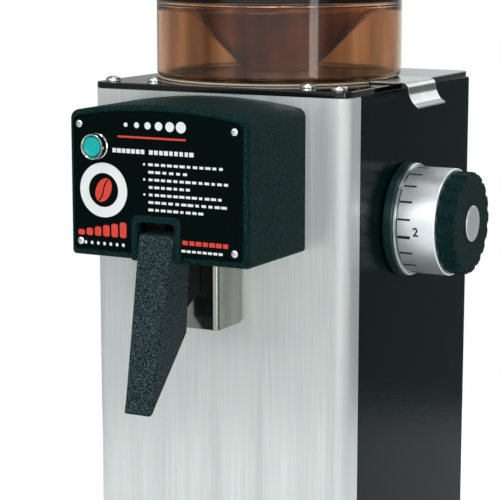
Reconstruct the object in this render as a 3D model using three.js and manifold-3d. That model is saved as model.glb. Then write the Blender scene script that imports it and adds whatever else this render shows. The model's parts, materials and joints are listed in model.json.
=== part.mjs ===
// A counter-top coffee grinder, in millimetres, +Z up. While it is built, x = 0 is the middle of the body,
// y = 0 the face of the front panel with +y to the rear, and z = 0 the table. The whole machine is moved
// at the end, so that its origin is the middle of the bottom of its bounding box.
import * as THREE from "three";
import { mergeVertices } from "three/addons/utils/BufferGeometryUtils.js";
import Module from "manifold-3d";

const wasm = await Module();
wasm.setup();

// Body
const bodyWidth = 220;
const bodyDepth = 248;
const plateUnderside = 500;
const plateThickness = 4.8;
const bodyCorner = 10;
const castingWall = 6;
const panelThickness = 1.5;
const panelReturn = 24.6;
const rearCoverThickness = 1.5;

// Clearances
const seatGap = 0.3;
const holeGap = 0.3;
const slideGap = 1;
const overrun = 6;
const weldDistance = 0.001;

// Base, feet and bag tray
const deckHeight = 40;
const baseFrontReach = 125;
const baseSideReach = 2;
const baseCorner = 22;
const baseWall = 6;
const footHeight = 12;
const footRadius = 17;
const footTopRadius = 14;
const footEdge = 2;
const footInset = 32;
const studRadius = 4;
const studLength = 11;
const footBossRadius = 12;
const trayHalfWidth = 86;
const trayFront = 122;
const trayBack = 5;
const trayRim = 9;
const traySheet = 1.2;
const trayCorner = 6;
const trayRecess = 3;
const trayNotchWidth = 50;
const trayNotchDepth = 5;

// Screws of the top plate: pan heads with a cross recess
const plateScrewHead = 6;
const plateScrewDome = 3.9;
const plateScrewEdge = 1.3;
const plateScrewShank = 2.9;
const plateScrewLength = 20;
const crossWidth = 1.3;
const crossLength = 6.2;
const crossDepth = 1.8;
const outerScrewInset = 12;
const innerScrewX = 67;
const innerScrewY = 23;
const screwBossWidth = 14;
const screwBossHeight = 30;
const screwBossReach = 8;
const screwBossRoot = 2;

// Hopper, its lid and the bean shutter
const hopperRadius = 98.6;
const hopperWall = 3;
const hopperHeight = 215;
const funnelHeight = 74;
const throatRadius = 27;
const sealHeight = 1.4;
const sealWidth = 4.2;
const sealProud = 0.6;
const lidSkirt = 10;
const lidWall = 2.4;
const lidEdge = 3;
const lidCrown = 8;
const knobRadius = 18;
const knobNeck = 12;
const knobHeight = 20;
const lidCrownRadius = 36;
const shutterWidth = 55.6;
const shutterSheet = 1.6;
const shutterLift = 0.6;
const shutterClosedReach = 34;
const shutterOverhang = 9.3;
const lipBend = 5;
const lipDrop = 9;
const lipHollow = 2.25;
const lipFlareOut = 9;
const lipFlareDrop = 9;
const guideHalfWidth = 38;
const guideLeft = 46;
const guideHeight = 5.6;
const guideEnd = 6;

// Grinding set: one axis from left to right
const grindAxisY = 107.8;
const grindAxisDrop = 102.9;
const shaftRadius = 7;
const endPlay = 1.5;
const shaftStub = 0.5;
const fanWidth = 8;
const fanRadius = 50;
const fanHub = 12;
const fanDisc = 2;
const fanBlade = 2;
const fanBlades = 9;
const fanClearance = 2;
const motorHalfSize = 60;
const motorCorner = 14;
const statorLength = 46;
const statorBore = 35;
const rotorRadius = 33.5;
const rotorInset = 2;
const windingInner = 38;
const windingOuter = 52;
const windingLength = 7;
const shieldPlate = 5;
const shieldRim = 8.7;
const shieldRimInner = 54;
const shieldHub = 21;
const bearingRadius = 16;
const bearingWidth = 9;
const chamberRadius = 50;
const chamberInner = 43;
const chamberWall = 7;
const feedLength = 38.7;
const feedInner = 26;
const feedOuter = 36;
const feedHubRadius = 11;
const feedFlightRadius = 15.5;
const feedFlightThickness = 2.6;
const feedPitch = 14;
const feedClearance = 2;
const feedFlightRoot = 0.6;
const burrRadius = 40;
const burrBore = 17;
const burrThickness = 8;
const burrGap = 1;
const burrGrooves = 12;
const burrGrooveWidth = 2.4;
const burrGrooveDepth = 1.6;
const burrGrooveStart = 13.6;
const holderThickness = 7.7;
const thrustRadius = 15;
const thrustWidth = 6;
const cupWall = 4;
const cupFloor = 4;
const spindleRadius = 10;
const chamberCoverThickness = 7;
const neckRadius = 26;
const neckBoreDepth = 12;
const threadRadius = 20;
const threadReach = 20;
const inletRadius = 18;
const inletWall = 3;
const inletBossHeight = 52;
const outletHalfWidth = 10;
const outletWall = 2;
const outletBossReach = 54;
const outletRise = 12;
const chuteDrop = 99;
const chuteStraight = 14;
const chuteInSpout = 3;
const chuteWindowGap = 0.6;
const bracketSheet = 4;
const bracketHalfDepth = 45;
const bracketRight = 12;
const bracketFlange = 46;

// Capacitor and cable gland
const capacitorRadius = 22.5;
const capacitorHeight = 80;
const capacitorSideInset = 52;
const capacitorRearInset = 52;
const terminalHeight = 8;
const terminalWidth = 6;
const terminalThickness = 1;
const terminalSpacing = 9;
const glandInset = 40;
const glandHeight = 90;
const glandBarrel = 8;
const glandBody = 11.5;
const glandBore = 4.2;
const glandReach = 14;
const glandTail = 9;
const louvreHalfWidth = 32;
const louvreHeight = 5;
const louvrePitch = 14;
const louvreCount = 9;
const louvreColumnX = 48;
const louvreBottomShare = 0.52;

// Outlet cover, label plate and start button
const coverDepth = 88.2;
const coverHalfFront = 74.4;
const coverHalfRear = 76.3;
const coverBottomDrop = 116;
const coverShoulderDrop = 9;
const coverArchRise = 7;
const coverTopCorner = 7;
const coverBottomCorner = 3;
const coverEdge = 3.5;
const coverWall = 3;
const coverOpeningHalf = 32;
const coverOpeningFront = 80;
const slotHalfWidth = 15.45;
const slotTopDrop = 87.6;
const slotCorner = 3;
const rimWidth = 5.3;
const rimProud = 3;
const rimTopCorner = 5;
const labelThickness = 1;
const labelInset = 4.2;
const labelBottomDrop = 111;
const labelScrewX = 64.5;
const labelScrewTopDrop = 18;
const labelScrewBottomDrop = 104.8;
const labelScrewHead = 2.8;
const labelScrewHeadHeight = 1.2;
const labelScrewCrown = 1.96;
const labelScrewBevel = 0.18;
const labelScrewDome = 0.72;
const labelScrewShank = 1.4;
const labelScrewLength = 6;
const buttonX = -49.4;
const buttonDrop = 33.7;
const bezelRadius = 9.3;
const bezelProud = 8.3;
const bezelChamfer = 1;
const bezelBarrel = 8.2;
const bezelBarrelLength = 13.8;
const buttonRadius = 7;
const buttonSunk = 0.3;
const buttonEdge = 0.8;
const buttonLength = 13.4;
const buttonSpringRadius = 5;
const buttonSpringTurns = 4;
const springWire = 0.6;
const switchHalf = 11;
const switchDepth = 26;

// Spout, bag-clamp lever, its pin, spring and pad
const spoutHalfWidth = 23.8;
const spoutDepth = 40.7;
const spoutBottomDrop = 174.5;
const spoutTopDrop = 62;
const spoutWall = 1.5;
const spoutCorner = 2.5;
const leverTopDrop = 96;
const leverBottomDrop = 223.5;
const leverTopFront = 90.3;
const leverBottomFront = 120;
const leverTopHalf = 15;
const leverBottomHalf = 10.8;
const leverRear = 66;
const leverKneeDrop = 171;
const leverKneeRear = 67.5;
const leverTipThickness = 3.6;
const leverEdge = 2.4;
const leverTopEdge = 2;
const leverTopShare = 0.94;
const leverEdgeShare = 1 / 3;
const pinY = 74;
const pinDrop = 104;
const pinRadius = 2.8;
const earInner = 22;
const earThickness = 5;
const earRear = 66;
const earTopDrop = 94;
const earBottomDrop = 112;
const leverSpringRadius = 5.2;
const leverSpringTurns = 3;
const leverSpringSpace = 0.6;
const padHalfWidth = 9;
const padSeat = 1.2;
const padTopDrop = 118;
const padFrontBottomDrop = 156;
const padRearBottomDrop = 146;

// Granulation dial
const dialStandOff = 1.5;
const dialFlangeRadius = 44.8;
const dialFlangeThickness = 8.4;
const dialFlangeEdge = 0.8;
const dialRingRadius = 44.2;
const dialRingNarrow = 42.8;
const dialRingWidth = 2;
const dialDrumRadius = 42;
const dialDrumLength = 31;
const dialCoreRadius = 29.7;
const dialGripRadius = 40;
const dialGripLength = 14;
const dialGripEdge = 2;
const dialFlutes = 18;
const dialFluteRadius = 4;
const dialFluteDepth = 2.2;
const dialBoreDepth = 23.2;
const dialCapRadius = 14;
const dialCapThickness = 1.2;

// Counts of flat faces round a circle or a corner
const largeRound = 40;
const mediumRound = 20;
const smallRound = 12;
const cornerSteps = 3;
const stepsPerTurn = 8;
const wireSides = 4;
const dialFluteSides = 6;
const archSteps = 10;
const domeSteps = 3;
const bendSteps = 4;
const edgeSteps = 3;

// Places worked out from the values above
const half = bodyWidth / 2;
const bodyBottom = deckHeight + seatGap;
const bodyTop = plateUnderside - seatGap;
const plateTop = plateUnderside + plateThickness;
const axisZ = plateUnderside - grindAxisDrop;
const frontInner = panelThickness + seatGap + castingWall;
const insideX = half - castingWall;
const coverFront = -coverDepth;
const labelFront = coverFront - seatGap - labelThickness;

function drop(distance) {
  return plateUnderside - distance;
}

// Solids

function solid(geometry) {
  geometry.deleteAttribute("normal");
  geometry.deleteAttribute("uv");
  const merged = mergeVertices(geometry, weldDistance);
  return new wasm.Manifold(
    new wasm.Mesh({
      numProp: 3,
      vertProperties: merged.attributes.position.array,
      triVerts: new Uint32Array(merged.index.array),
    }),
  );
}

function joined(solids) {
  return solids.reduce((whole, next) => whole.add(next));
}

function cut(body, tools) {
  return tools.reduce((left, tool) => left.subtract(tool), body);
}

function box(lowX, highX, lowY, highY, lowZ, highZ) {
  const geometry = new THREE.BoxGeometry(highX - lowX, highY - lowY, highZ - lowZ);
  geometry.translate((lowX + highX) / 2, (lowY + highY) / 2, (lowZ + highZ) / 2);
  return solid(geometry);
}

function extruded(shape, length) {
  return new THREE.ExtrudeGeometry(shape, {
    depth: length,
    bevelEnabled: false,
    curveSegments: cornerSteps,
  });
}

// An outline in x and y, pushed up from one height to another.
function prismZ(shape, low, high) {
  const geometry = extruded(shape, high - low);
  geometry.translate(0, 0, low);
  return solid(geometry);
}

// An outline in y and z, pushed along x.
function prismX(shape, low, high) {
  const geometry = extruded(shape, high - low);
  const turn = new THREE.Matrix4();
  turn.makeBasis(new THREE.Vector3(0, 1, 0), new THREE.Vector3(0, 0, 1), new THREE.Vector3(1, 0, 0));
  geometry.applyMatrix4(turn);
  geometry.translate(low, 0, 0);
  return solid(geometry);
}

// An outline in x and z, pushed along y.
function prismY(shape, low, high) {
  const geometry = extruded(shape, high - low);
  geometry.rotateX(Math.PI / 2);
  geometry.translate(0, high, 0);
  return solid(geometry);
}

// A closed profile of [radius, height] corners, listed so that the solid lies on its left, turned about
// a line along x, y or z through the given centre.
function turned(direction, profile, centre, steps) {
  const points = profile.map(([radius, height]) => new THREE.Vector2(radius, height));
  if (profile[0][0] > 0) {
    points.push(points[0].clone());
  }
  const geometry = new THREE.LatheGeometry(points, steps);
  if (direction === "x") {
    geometry.rotateZ(-Math.PI / 2);
  }
  if (direction === "z") {
    geometry.rotateX(Math.PI / 2);
  }
  geometry.translate(centre.x, centre.y, centre.z);
  return solid(geometry);
}

function place(x, y, z) {
  return new THREE.Vector3(x, y, z);
}

// Plain cylinders and rings between two heights along an axis.
function rod(direction, radius, low, high, centre, steps = smallRound) {
  const profile = [
    [0, low],
    [radius, low],
    [radius, high],
    [0, high],
  ];
  return turned(direction, profile, centre, steps);
}

function ring(direction, inner, outer, low, high, centre, steps = smallRound) {
  const profile = [
    [inner, low],
    [outer, low],
    [outer, high],
    [inner, high],
  ];
  return turned(direction, profile, centre, steps);
}

function roundRect(lowX, lowY, highX, highY, radius) {
  const quarter = Math.PI / 2;
  const shape = new THREE.Shape();
  shape.moveTo(lowX + radius, lowY);
  shape.absarc(highX - radius, lowY + radius, radius, -quarter, 0, false);
  shape.absarc(highX - radius, highY - radius, radius, 0, quarter, false);
  shape.absarc(lowX + radius, highY - radius, radius, quarter, 2 * quarter, false);
  shape.absarc(lowX + radius, lowY + radius, radius, 2 * quarter, 3 * quarter, false);
  return shape;
}

function outlineOf(points) {
  return new THREE.Shape(points.map(([u, v]) => new THREE.Vector2(u, v)));
}

// A closed skin through rings with equal numbers of points; each end is closed by a fan.
function loft(rings) {
  const count = rings[0].length;
  const positions = rings.flat().flatMap((point) => [point.x, point.y, point.z]);
  const faces = [];
  for (let i = 0; i + 1 < rings.length; i += 1) {
    for (let j = 0; j < count; j += 1) {
      const a = i * count + j;
      const b = i * count + ((j + 1) % count);
      faces.push(a, b, b + count, a, b + count, a + count);
    }
  }
  const last = (rings.length - 1) * count;
  for (let j = 1; j + 1 < count; j += 1) {
    faces.push(0, j + 1, j);
    faces.push(last, last + j, last + j + 1);
  }
  const geometry = new THREE.BufferGeometry();
  geometry.setAttribute("position", new THREE.Float32BufferAttribute(positions, 3));
  geometry.setIndex(faces);
  return solid(geometry);
}

// A wire or a flight that winds round a line along x or y. The section is a list of
// [outward, along] corners about the winding's own radius.
function winding(direction, section, radius, start, pitch, turns, centre) {
  const total = Math.floor(stepsPerTurn * turns);
  const along = direction === "x" ? place(1, 0, 0) : place(0, 1, 0);
  const side = direction === "x" ? place(0, 1, 0) : place(0, 0, 1);
  const up = new THREE.Vector3().crossVectors(along, side);
  const rings = [];
  for (let i = 0; i <= total; i += 1) {
    const angle = (2 * Math.PI * i) / stepsPerTurn;
    const outward = side.clone().multiplyScalar(Math.cos(angle));
    outward.addScaledVector(up, Math.sin(angle));
    const advance = start + (pitch * i) / stepsPerTurn;
    rings.push(
      section.map(([out, forward]) =>
        centre
          .clone()
          .addScaledVector(outward, radius + out)
          .addScaledVector(along, advance + forward),
      ),
    );
  }
  return loft(rings);
}

function wireSection(radius) {
  const corners = [];
  for (let i = 0; i < wireSides; i += 1) {
    const angle = (2 * Math.PI * i) / wireSides;
    corners.push([radius * Math.cos(angle), -radius * Math.sin(angle)]);
  }
  return corners;
}

// Base, feet and tray

const baseHalf = half + baseSideReach;
const baseUnderside = footHeight + seatGap;
const baseRear = bodyDepth + rearCoverThickness + seatGap;
const footPlaces = [
  [-baseHalf + footInset, -baseFrontReach + footInset],
  [baseHalf - footInset, -baseFrontReach + footInset],
  [-baseHalf + footInset, baseRear - footInset],
  [baseHalf - footInset, baseRear - footInset],
];

function baseCasting() {
  const outer = roundRect(-baseHalf, -baseFrontReach, baseHalf, baseRear, baseCorner);
  const inner = roundRect(
    -baseHalf + baseWall,
    -baseFrontReach + baseWall,
    baseHalf - baseWall,
    baseRear - baseWall,
    baseCorner - baseWall,
  );
  const ceiling = deckHeight - trayRecess - baseWall;
  const shell = cut(prismZ(outer, baseUnderside, deckHeight), [
    prismZ(inner, baseUnderside - overrun, ceiling),
  ]);
  const bosses = footPlaces.map(([x, y]) =>
    rod("z", footBossRadius, baseUnderside, ceiling + baseWall / 2, place(x, y, 0)),
  );
  const studHoles = footPlaces.map(([x, y]) =>
    rod("z", studRadius + holeGap, 0, baseUnderside + studLength + slideGap, place(x, y, 0)),
  );
  const recessHalf = trayHalfWidth + slideGap;
  const recessBack = -trayBack + slideGap;
  const recess = box(
    -recessHalf,
    recessHalf,
    -baseFrontReach - overrun,
    recessBack,
    deckHeight - trayRecess,
    deckHeight + overrun,
  );
  return cut(joined([shell, ...bosses]), [...studHoles, recess]);
}

function foot([x, y]) {
  const profile = [
    [0, 0],
    [footRadius, 0],
    [footRadius, footEdge],
    [footTopRadius, footHeight],
    [studRadius, footHeight],
    [studRadius, footHeight + studLength],
    [0, footHeight + studLength],
  ];
  return turned("z", profile, place(x, y, 0), smallRound);
}

function bagTray() {
  const floor = deckHeight - trayRecess + seatGap;
  const top = floor + trayRim;
  const outer = roundRect(-trayHalfWidth, -trayFront, trayHalfWidth, -trayBack, trayCorner);
  const inner = roundRect(
    -trayHalfWidth + traySheet,
    -trayFront + traySheet,
    trayHalfWidth - traySheet,
    -trayBack - traySheet,
    trayCorner - traySheet,
  );
  const notch = box(
    -trayNotchWidth / 2,
    trayNotchWidth / 2,
    -trayFront - overrun,
    -trayFront + overrun,
    top - trayNotchDepth,
    top + overrun,
  );
  return cut(prismZ(outer, floor, top), [prismZ(inner, floor + traySheet, top + overrun), notch]);
}

// Body casting, front panel, rear cover and top plate

const plateScrewPlaces = [
  [-half + outerScrewInset, outerScrewInset],
  [-innerScrewX, innerScrewY],
  [innerScrewX, innerScrewY],
  [half - outerScrewInset, outerScrewInset],
];

function chuteWindow(lowY, highY) {
  const reach = outletHalfWidth + outletWall + chuteWindowGap;
  const middle = drop(chuteDrop);
  return box(-reach, reach, lowY, highY, middle - reach, middle + reach);
}

function screwBoss([x, y]) {
  return box(
    x - screwBossWidth / 2,
    x + screwBossWidth / 2,
    frontInner - screwBossRoot,
    y + screwBossReach,
    bodyTop - screwBossHeight,
    bodyTop,
  );
}

function bodyCasting() {
  const step = panelThickness + seatGap;
  const sideStart = panelReturn + seatGap;
  const rear = roundRect(-half, sideStart, half, bodyDepth, panelThickness);
  const front = roundRect(
    -half + step,
    step,
    half - step,
    sideStart + bodyCorner,
    bodyCorner - step,
  );
  const hollow = outlineOf([
    [-insideX, frontInner],
    [insideX, frontInner],
    [insideX, bodyDepth + overrun],
    [-insideX, bodyDepth + overrun],
  ]);
  const walls = cut(joined([prismZ(rear, bodyBottom, bodyTop), prismZ(front, bodyBottom, bodyTop)]), [
    prismZ(hollow, bodyBottom - overrun, bodyTop + overrun),
  ]);
  const holeRadius = plateScrewShank + holeGap;
  const screwHoles = plateScrewPlaces.map(([x, y]) =>
    rod("z", holeRadius, bodyTop - plateScrewLength, bodyTop + overrun, place(x, y, 0)),
  );
  const neckHole = rod(
    "x",
    neckRadius + holeGap,
    insideX - overrun,
    half + overrun,
    place(0, grindAxisY, axisZ),
    mediumRound,
  );
  return cut(joined([walls, ...plateScrewPlaces.map(screwBoss)]), [
    ...screwHoles,
    neckHole,
    chuteWindow(0, frontInner + overrun),
  ]);
}

function frontPanel() {
  const quarter = Math.PI / 2;
  const inside = bodyCorner - panelThickness;
  const shape = new THREE.Shape();
  shape.moveTo(-half, panelReturn);
  shape.absarc(-half + bodyCorner, bodyCorner, bodyCorner, 2 * quarter, 3 * quarter, false);
  shape.absarc(half - bodyCorner, bodyCorner, bodyCorner, -quarter, 0, false);
  shape.lineTo(half, panelReturn);
  shape.lineTo(half - panelThickness, panelReturn);
  shape.absarc(half - bodyCorner, bodyCorner, inside, 0, -quarter, true);
  shape.absarc(-half + bodyCorner, bodyCorner, inside, 3 * quarter, 2 * quarter, true);
  shape.lineTo(-half + panelThickness, panelReturn);
  const sheet = prismZ(shape, bodyBottom, bodyTop);
  return cut(sheet, [chuteWindow(-overrun, panelThickness + overrun)]);
}

function rearCover() {
  const front = bodyDepth + seatGap;
  const rear = front + rearCoverThickness;
  const edge = half - seatGap;
  const sheet = box(-edge, edge, front, rear, bodyBottom, bodyTop);
  const slots = [];
  const lowest = bodyBottom + (bodyTop - bodyBottom) * louvreBottomShare;
  for (const side of [-1, 1]) {
    for (let i = 0; i < louvreCount; i += 1) {
      const middle = side * louvreColumnX;
      const low = lowest + i * louvrePitch;
      slots.push(
        box(
          middle - louvreHalfWidth,
          middle + louvreHalfWidth,
          front - overrun,
          rear + overrun,
          low,
          low + louvreHeight,
        ),
      );
    }
  }
  const glandHole = rod("y", glandBarrel + holeGap, front - overrun, rear + overrun, glandCentre);
  return cut(sheet, [...slots, glandHole]);
}

function topPlate() {
  const outline = roundRect(-half, 0, half, baseRear, bodyCorner);
  const holeRadius = plateScrewShank + holeGap;
  const screwHoles = plateScrewPlaces.map(([x, y]) =>
    rod("z", holeRadius, plateUnderside - overrun, plateTop + overrun, place(x, y, 0)),
  );
  const throat = rod(
    "z",
    throatRadius,
    plateUnderside - overrun,
    plateTop + overrun,
    place(0, grindAxisY, 0),
    mediumRound,
  );
  return cut(prismZ(outline, plateUnderside, plateTop), [...screwHoles, throat]);
}

function plateScrew([x, y]) {
  const seat = plateTop + seatGap;
  const profile = [
    [0, seat - plateScrewLength],
    [plateScrewShank, seat - plateScrewLength],
    [plateScrewShank, seat],
    [plateScrewHead, seat],
  ];
  for (let i = 0; i < domeSteps; i += 1) {
    const angle = (Math.PI / 2) * (i / domeSteps);
    const rise = (plateScrewDome - plateScrewEdge) * Math.sin(angle);
    profile.push([plateScrewHead * Math.cos(angle), seat + plateScrewEdge + rise]);
  }
  profile.push([0, seat + plateScrewDome]);
  const head = turned("z", profile, place(x, y, 0), smallRound);
  const long = crossLength / 2;
  const thin = crossWidth / 2;
  const floor = seat + plateScrewDome - crossDepth;
  const top = seat + plateScrewDome + overrun;
  return cut(head, [
    box(x - long, x + long, y - thin, y + thin, floor, top),
    box(x - thin, x + thin, y - long, y + long, floor, top),
  ]);
}

// Hopper, seal, lid, shutter and its guide

const hopperCentre = place(0, grindAxisY, 0);
const sealTop = plateTop + seatGap + sealHeight;
const hopperFoot = sealTop + seatGap;
const hopperTop = hopperFoot + hopperHeight;
const shutterLow = plateTop + shutterLift;
const shutterHigh = shutterLow + shutterSheet;
const sealInner = hopperRadius + sealProud - sealWidth;
const guideRight = Math.sqrt(sealInner ** 2 - guideHalfWidth ** 2) - slideGap;
const guideLow = plateTop + seatGap;
const guideHigh = guideLow + guideHeight;

function shutterPath(high) {
  const reach = shutterWidth / 2 + slideGap;
  const end = hopperRadius + sealProud + overrun;
  return box(0, end, grindAxisY - reach, grindAxisY + reach, plateTop - overrun, high);
}

function hopperSeal() {
  const outer = hopperRadius + sealProud;
  const whole = ring("z", sealInner, outer, plateTop + seatGap, sealTop, hopperCentre, largeRound);
  return cut(whole, [shutterPath(sealTop + overrun)]);
}

function hopper() {
  const inner = hopperRadius - hopperWall;
  const throatFoot = guideHigh + seatGap;
  const coneFoot = throatFoot + hopperWall;
  const coneTop = hopperFoot + funnelHeight;
  const profile = [
    [hopperRadius, hopperFoot],
    [hopperRadius, hopperTop],
    [inner, hopperTop],
    [inner, coneTop + hopperWall],
    [throatRadius, coneFoot + hopperWall],
    [throatRadius, throatFoot],
    [throatRadius + hopperWall, throatFoot],
    [throatRadius + hopperWall, coneFoot],
    [inner, coneTop - hopperWall],
    [inner, hopperFoot],
  ];
  const shell = turned("z", profile, hopperCentre, largeRound);
  return cut(shell, [shutterPath(shutterHigh + slideGap)]);
}

function hopperLid() {
  const underside = hopperTop + seatGap;
  const skirtInner = hopperRadius + seatGap;
  const outer = skirtInner + lidWall;
  const roof = underside + lidEdge;
  const crown = underside + lidCrown;
  const top = crown + knobHeight;
  const profile = [
    [0, underside],
    [skirtInner, underside],
    [skirtInner, underside - lidSkirt],
    [outer, underside - lidSkirt],
    [outer, roof - lidWall / 2],
    [outer - lidWall, roof],
    [lidCrownRadius, crown],
    [knobNeck, crown + lidEdge / 2],
    [knobNeck, top - knobNeck],
    [knobRadius, top - knobNeck / 2],
    [knobRadius, top - lidEdge],
    [knobRadius - lidEdge, top],
    [0, top],
  ];
  return turned("z", profile, hopperCentre, largeRound);
}

// The shutter's section: flat over the plate, bent down past its edge and flared out as a finger lip.
function shutterPlate() {
  const bendX = half + shutterOverhang;
  const middle = shutterLow + shutterSheet / 2;
  const path = [place(-shutterClosedReach, 0, middle)];
  for (let i = 0; i <= bendSteps; i += 1) {
    const angle = (Math.PI / 2) * (i / bendSteps);
    path.push(place(bendX + lipBend * Math.sin(angle), 0, middle - lipBend * (1 - Math.cos(angle))));
  }
  const lip = path[path.length - 1];
  path.push(place(lip.x + lipHollow, 0, lip.z - lipDrop / 2));
  path.push(place(lip.x + lipFlareOut / 2, 0, lip.z - lipDrop));
  path.push(place(lip.x + lipFlareOut, 0, lip.z - lipDrop - lipFlareDrop / 2));
  const low = grindAxisY - shutterWidth / 2;
  return prismY(stripOutline(path, shutterSheet), low, low + shutterWidth);
}

// The outline of a strip of sheet that follows a path in x and z.
function stripOutline(path, thickness) {
  const upper = [];
  const lower = [];
  path.forEach((point, i) => {
    const before = path[Math.max(i - 1, 0)];
    const after = path[Math.min(i + 1, path.length - 1)];
    const way = after.clone().sub(before).normalize();
    const offsetX = (-way.z * thickness) / 2;
    const offsetZ = (way.x * thickness) / 2;
    upper.push([point.x + offsetX, point.z + offsetZ]);
    lower.push([point.x - offsetX, point.z - offsetZ]);
  });
  return outlineOf([...lower, ...upper.reverse()]);
}

function shutterGuide() {
  const block = box(
    -guideLeft,
    guideRight,
    grindAxisY - guideHalfWidth,
    grindAxisY + guideHalfWidth,
    guideLow,
    guideHigh,
  );
  const channelHalf = shutterWidth / 2 + seatGap;
  const channel = box(
    -guideLeft + guideEnd,
    guideRight + overrun,
    grindAxisY - channelHalf,
    grindAxisY + channelHalf,
    guideLow - overrun,
    shutterHigh + seatGap,
  );
  const throat = rod(
    "z",
    throatRadius,
    guideLow - overrun,
    guideHigh + overrun,
    hopperCentre,
    mediumRound,
  );
  return cut(block, [channel, throat]);
}

// Grinding set, from left to right along the axis

const axis = place(0, grindAxisY, axisZ);
const shaftStart = -insideX + endPlay;
const fanStart = shaftStart + shaftStub;
const leftShieldStart = fanStart + fanWidth + fanClearance;
const statorStart = leftShieldStart + shieldPlate + shieldRim + seatGap;
const statorEnd = statorStart + statorLength;
const rightShieldStart = statorEnd + seatGap;
const rightShieldEnd = rightShieldStart + shieldRim + shieldPlate;
const chamberStart = rightShieldEnd + seatGap;
const feedStart = chamberStart + chamberWall;
const feedEnd = feedStart + feedLength;
const fixedBurrStart = feedEnd + seatGap;
const fixedGrooveStart = fixedBurrStart + burrThickness - burrGrooveDepth;
const turningBurrStart = fixedBurrStart + burrThickness + burrGap;
const holderStart = turningBurrStart + burrThickness + seatGap;
const holderEnd = holderStart + holderThickness;
const thrustStart = holderEnd + slideGap;
const shaftEnd = thrustStart + thrustWidth;
const chamberEnd = shaftEnd - slideGap;
const chamberCoverStart = chamberEnd + seatGap;
const inletX = feedEnd - inletRadius - inletWall - slideGap;
const threadEnd = half + threadReach;
const dialBoreEnd = half + dialBoreDepth;

function motorOutline() {
  return roundRect(
    grindAxisY - motorHalfSize,
    axisZ - motorHalfSize,
    grindAxisY + motorHalfSize,
    axisZ + motorHalfSize,
    motorCorner,
  );
}

function motorShaft() {
  return rod("x", shaftRadius, shaftStart, shaftEnd, axis);
}

function coolingFan() {
  const bore = shaftRadius + seatGap;
  const end = fanStart + fanWidth;
  const hub = ring("x", bore, fanHub, fanStart, end, axis);
  const disc = ring("x", bore, fanRadius, end - fanDisc, end, axis, mediumRound);
  const blades = [];
  for (let i = 0; i < fanBlades; i += 1) {
    const blade = new THREE.BoxGeometry(fanWidth - fanDisc / 2, fanRadius - fanHub, fanBlade);
    blade.translate(fanStart + (fanWidth - fanDisc / 2) / 2, (fanRadius + fanHub) / 2 - fanBlade, 0);
    blade.rotateX((2 * Math.PI * i) / fanBlades);
    blade.translate(0, grindAxisY, axisZ);
    blades.push(solid(blade));
  }
  return joined([hub, disc, ...blades]);
}

// An end shield: a square plate with a bearing hub, and a rim that reaches the stator.
function motorShield(plateStart, rimStart, bearingStart) {
  const plate = prismX(motorOutline(), plateStart, plateStart + shieldPlate);
  const rim = cut(prismX(motorOutline(), rimStart, rimStart + shieldRim), [
    rod("x", shieldRimInner, rimStart - overrun, rimStart + shieldRim + overrun, axis, mediumRound),
  ]);
  const hub = rod("x", shieldHub, bearingStart, bearingStart + bearingWidth, axis, mediumRound);
  const pocket = rod(
    "x",
    bearingRadius + seatGap,
    bearingStart - overrun,
    bearingStart + bearingWidth + overrun,
    axis,
    mediumRound,
  );
  return cut(joined([plate, rim, hub]), [pocket]);
}

const leftBearingStart = leftShieldStart;
const rightBearingStart = rightShieldEnd - bearingWidth;

function bearing(start) {
  return ring("x", shaftRadius + seatGap, bearingRadius, start, start + bearingWidth, axis, mediumRound);
}

function motorStator() {
  const stack = prismX(motorOutline(), statorStart, statorEnd);
  const coils = ring(
    "x",
    windingInner,
    windingOuter,
    statorStart - windingLength,
    statorEnd + windingLength,
    axis,
    mediumRound,
  );
  const bore = rod("x", statorBore, statorStart - overrun, statorEnd + overrun, axis, mediumRound);
  return cut(joined([stack, coils]), [bore]);
}

function rotorCore() {
  const low = statorStart + rotorInset;
  const high = statorEnd - rotorInset;
  return ring("x", shaftRadius + seatGap, rotorRadius, low, high, axis, mediumRound);
}

function motorBracket() {
  const top = axisZ - motorHalfSize - seatGap;
  const left = -insideX + seatGap;
  const near = grindAxisY - bracketHalfDepth;
  const far = grindAxisY + bracketHalfDepth;
  const shelf = box(left, rightShieldEnd - bracketRight, near, far, top - bracketSheet, top);
  const flange = box(left, left + bracketSheet, near, far, top - bracketFlange, top);
  return joined([shelf, flange]);
}

function outletMiddle() {
  return (holderStart + turningBurrStart) / 2;
}

function grindingChamber() {
  const profile = [
    [shaftRadius + slideGap, chamberStart],
    [chamberRadius, chamberStart],
    [chamberRadius, feedStart],
    [feedOuter, feedStart],
    [feedOuter, feedEnd - chamberWall],
    [chamberRadius, feedEnd - chamberWall],
    [chamberRadius, chamberEnd],
    [chamberInner, chamberEnd],
    [chamberInner, feedEnd],
    [feedInner, feedEnd],
    [feedInner, feedStart],
    [shaftRadius + slideGap, feedStart],
  ];
  const shell = turned("x", profile, axis, mediumRound);
  const inletCentre = place(inletX, grindAxisY, axisZ);
  const inletBoss = rod("z", inletRadius + inletWall, feedInner, inletBossHeight, inletCentre, mediumRound);
  const inletBore = rod("z", inletRadius, 0, inletBossHeight + overrun, inletCentre, mediumRound);
  const core = rod("x", feedInner, feedStart, feedEnd, axis, mediumRound);
  const middle = outletMiddle();
  const reach = outletHalfWidth + outletWall;
  const outletZ = axisZ + outletRise;
  const outletBoss = cut(
    box(
      middle - reach,
      middle + reach,
      outletBossReach,
      grindAxisY - feedInner,
      outletZ - reach,
      outletZ + reach,
    ),
    [rod("x", chamberInner, chamberStart, chamberEnd, axis, mediumRound)],
  );
  const outletBore = box(
    middle - outletHalfWidth,
    middle + outletHalfWidth,
    outletBossReach - overrun,
    grindAxisY - feedInner,
    outletZ - outletHalfWidth,
    outletZ + outletHalfWidth,
  );
  return cut(joined([shell, inletBoss, outletBoss]), [inletBore, core, outletBore]);
}

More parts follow.
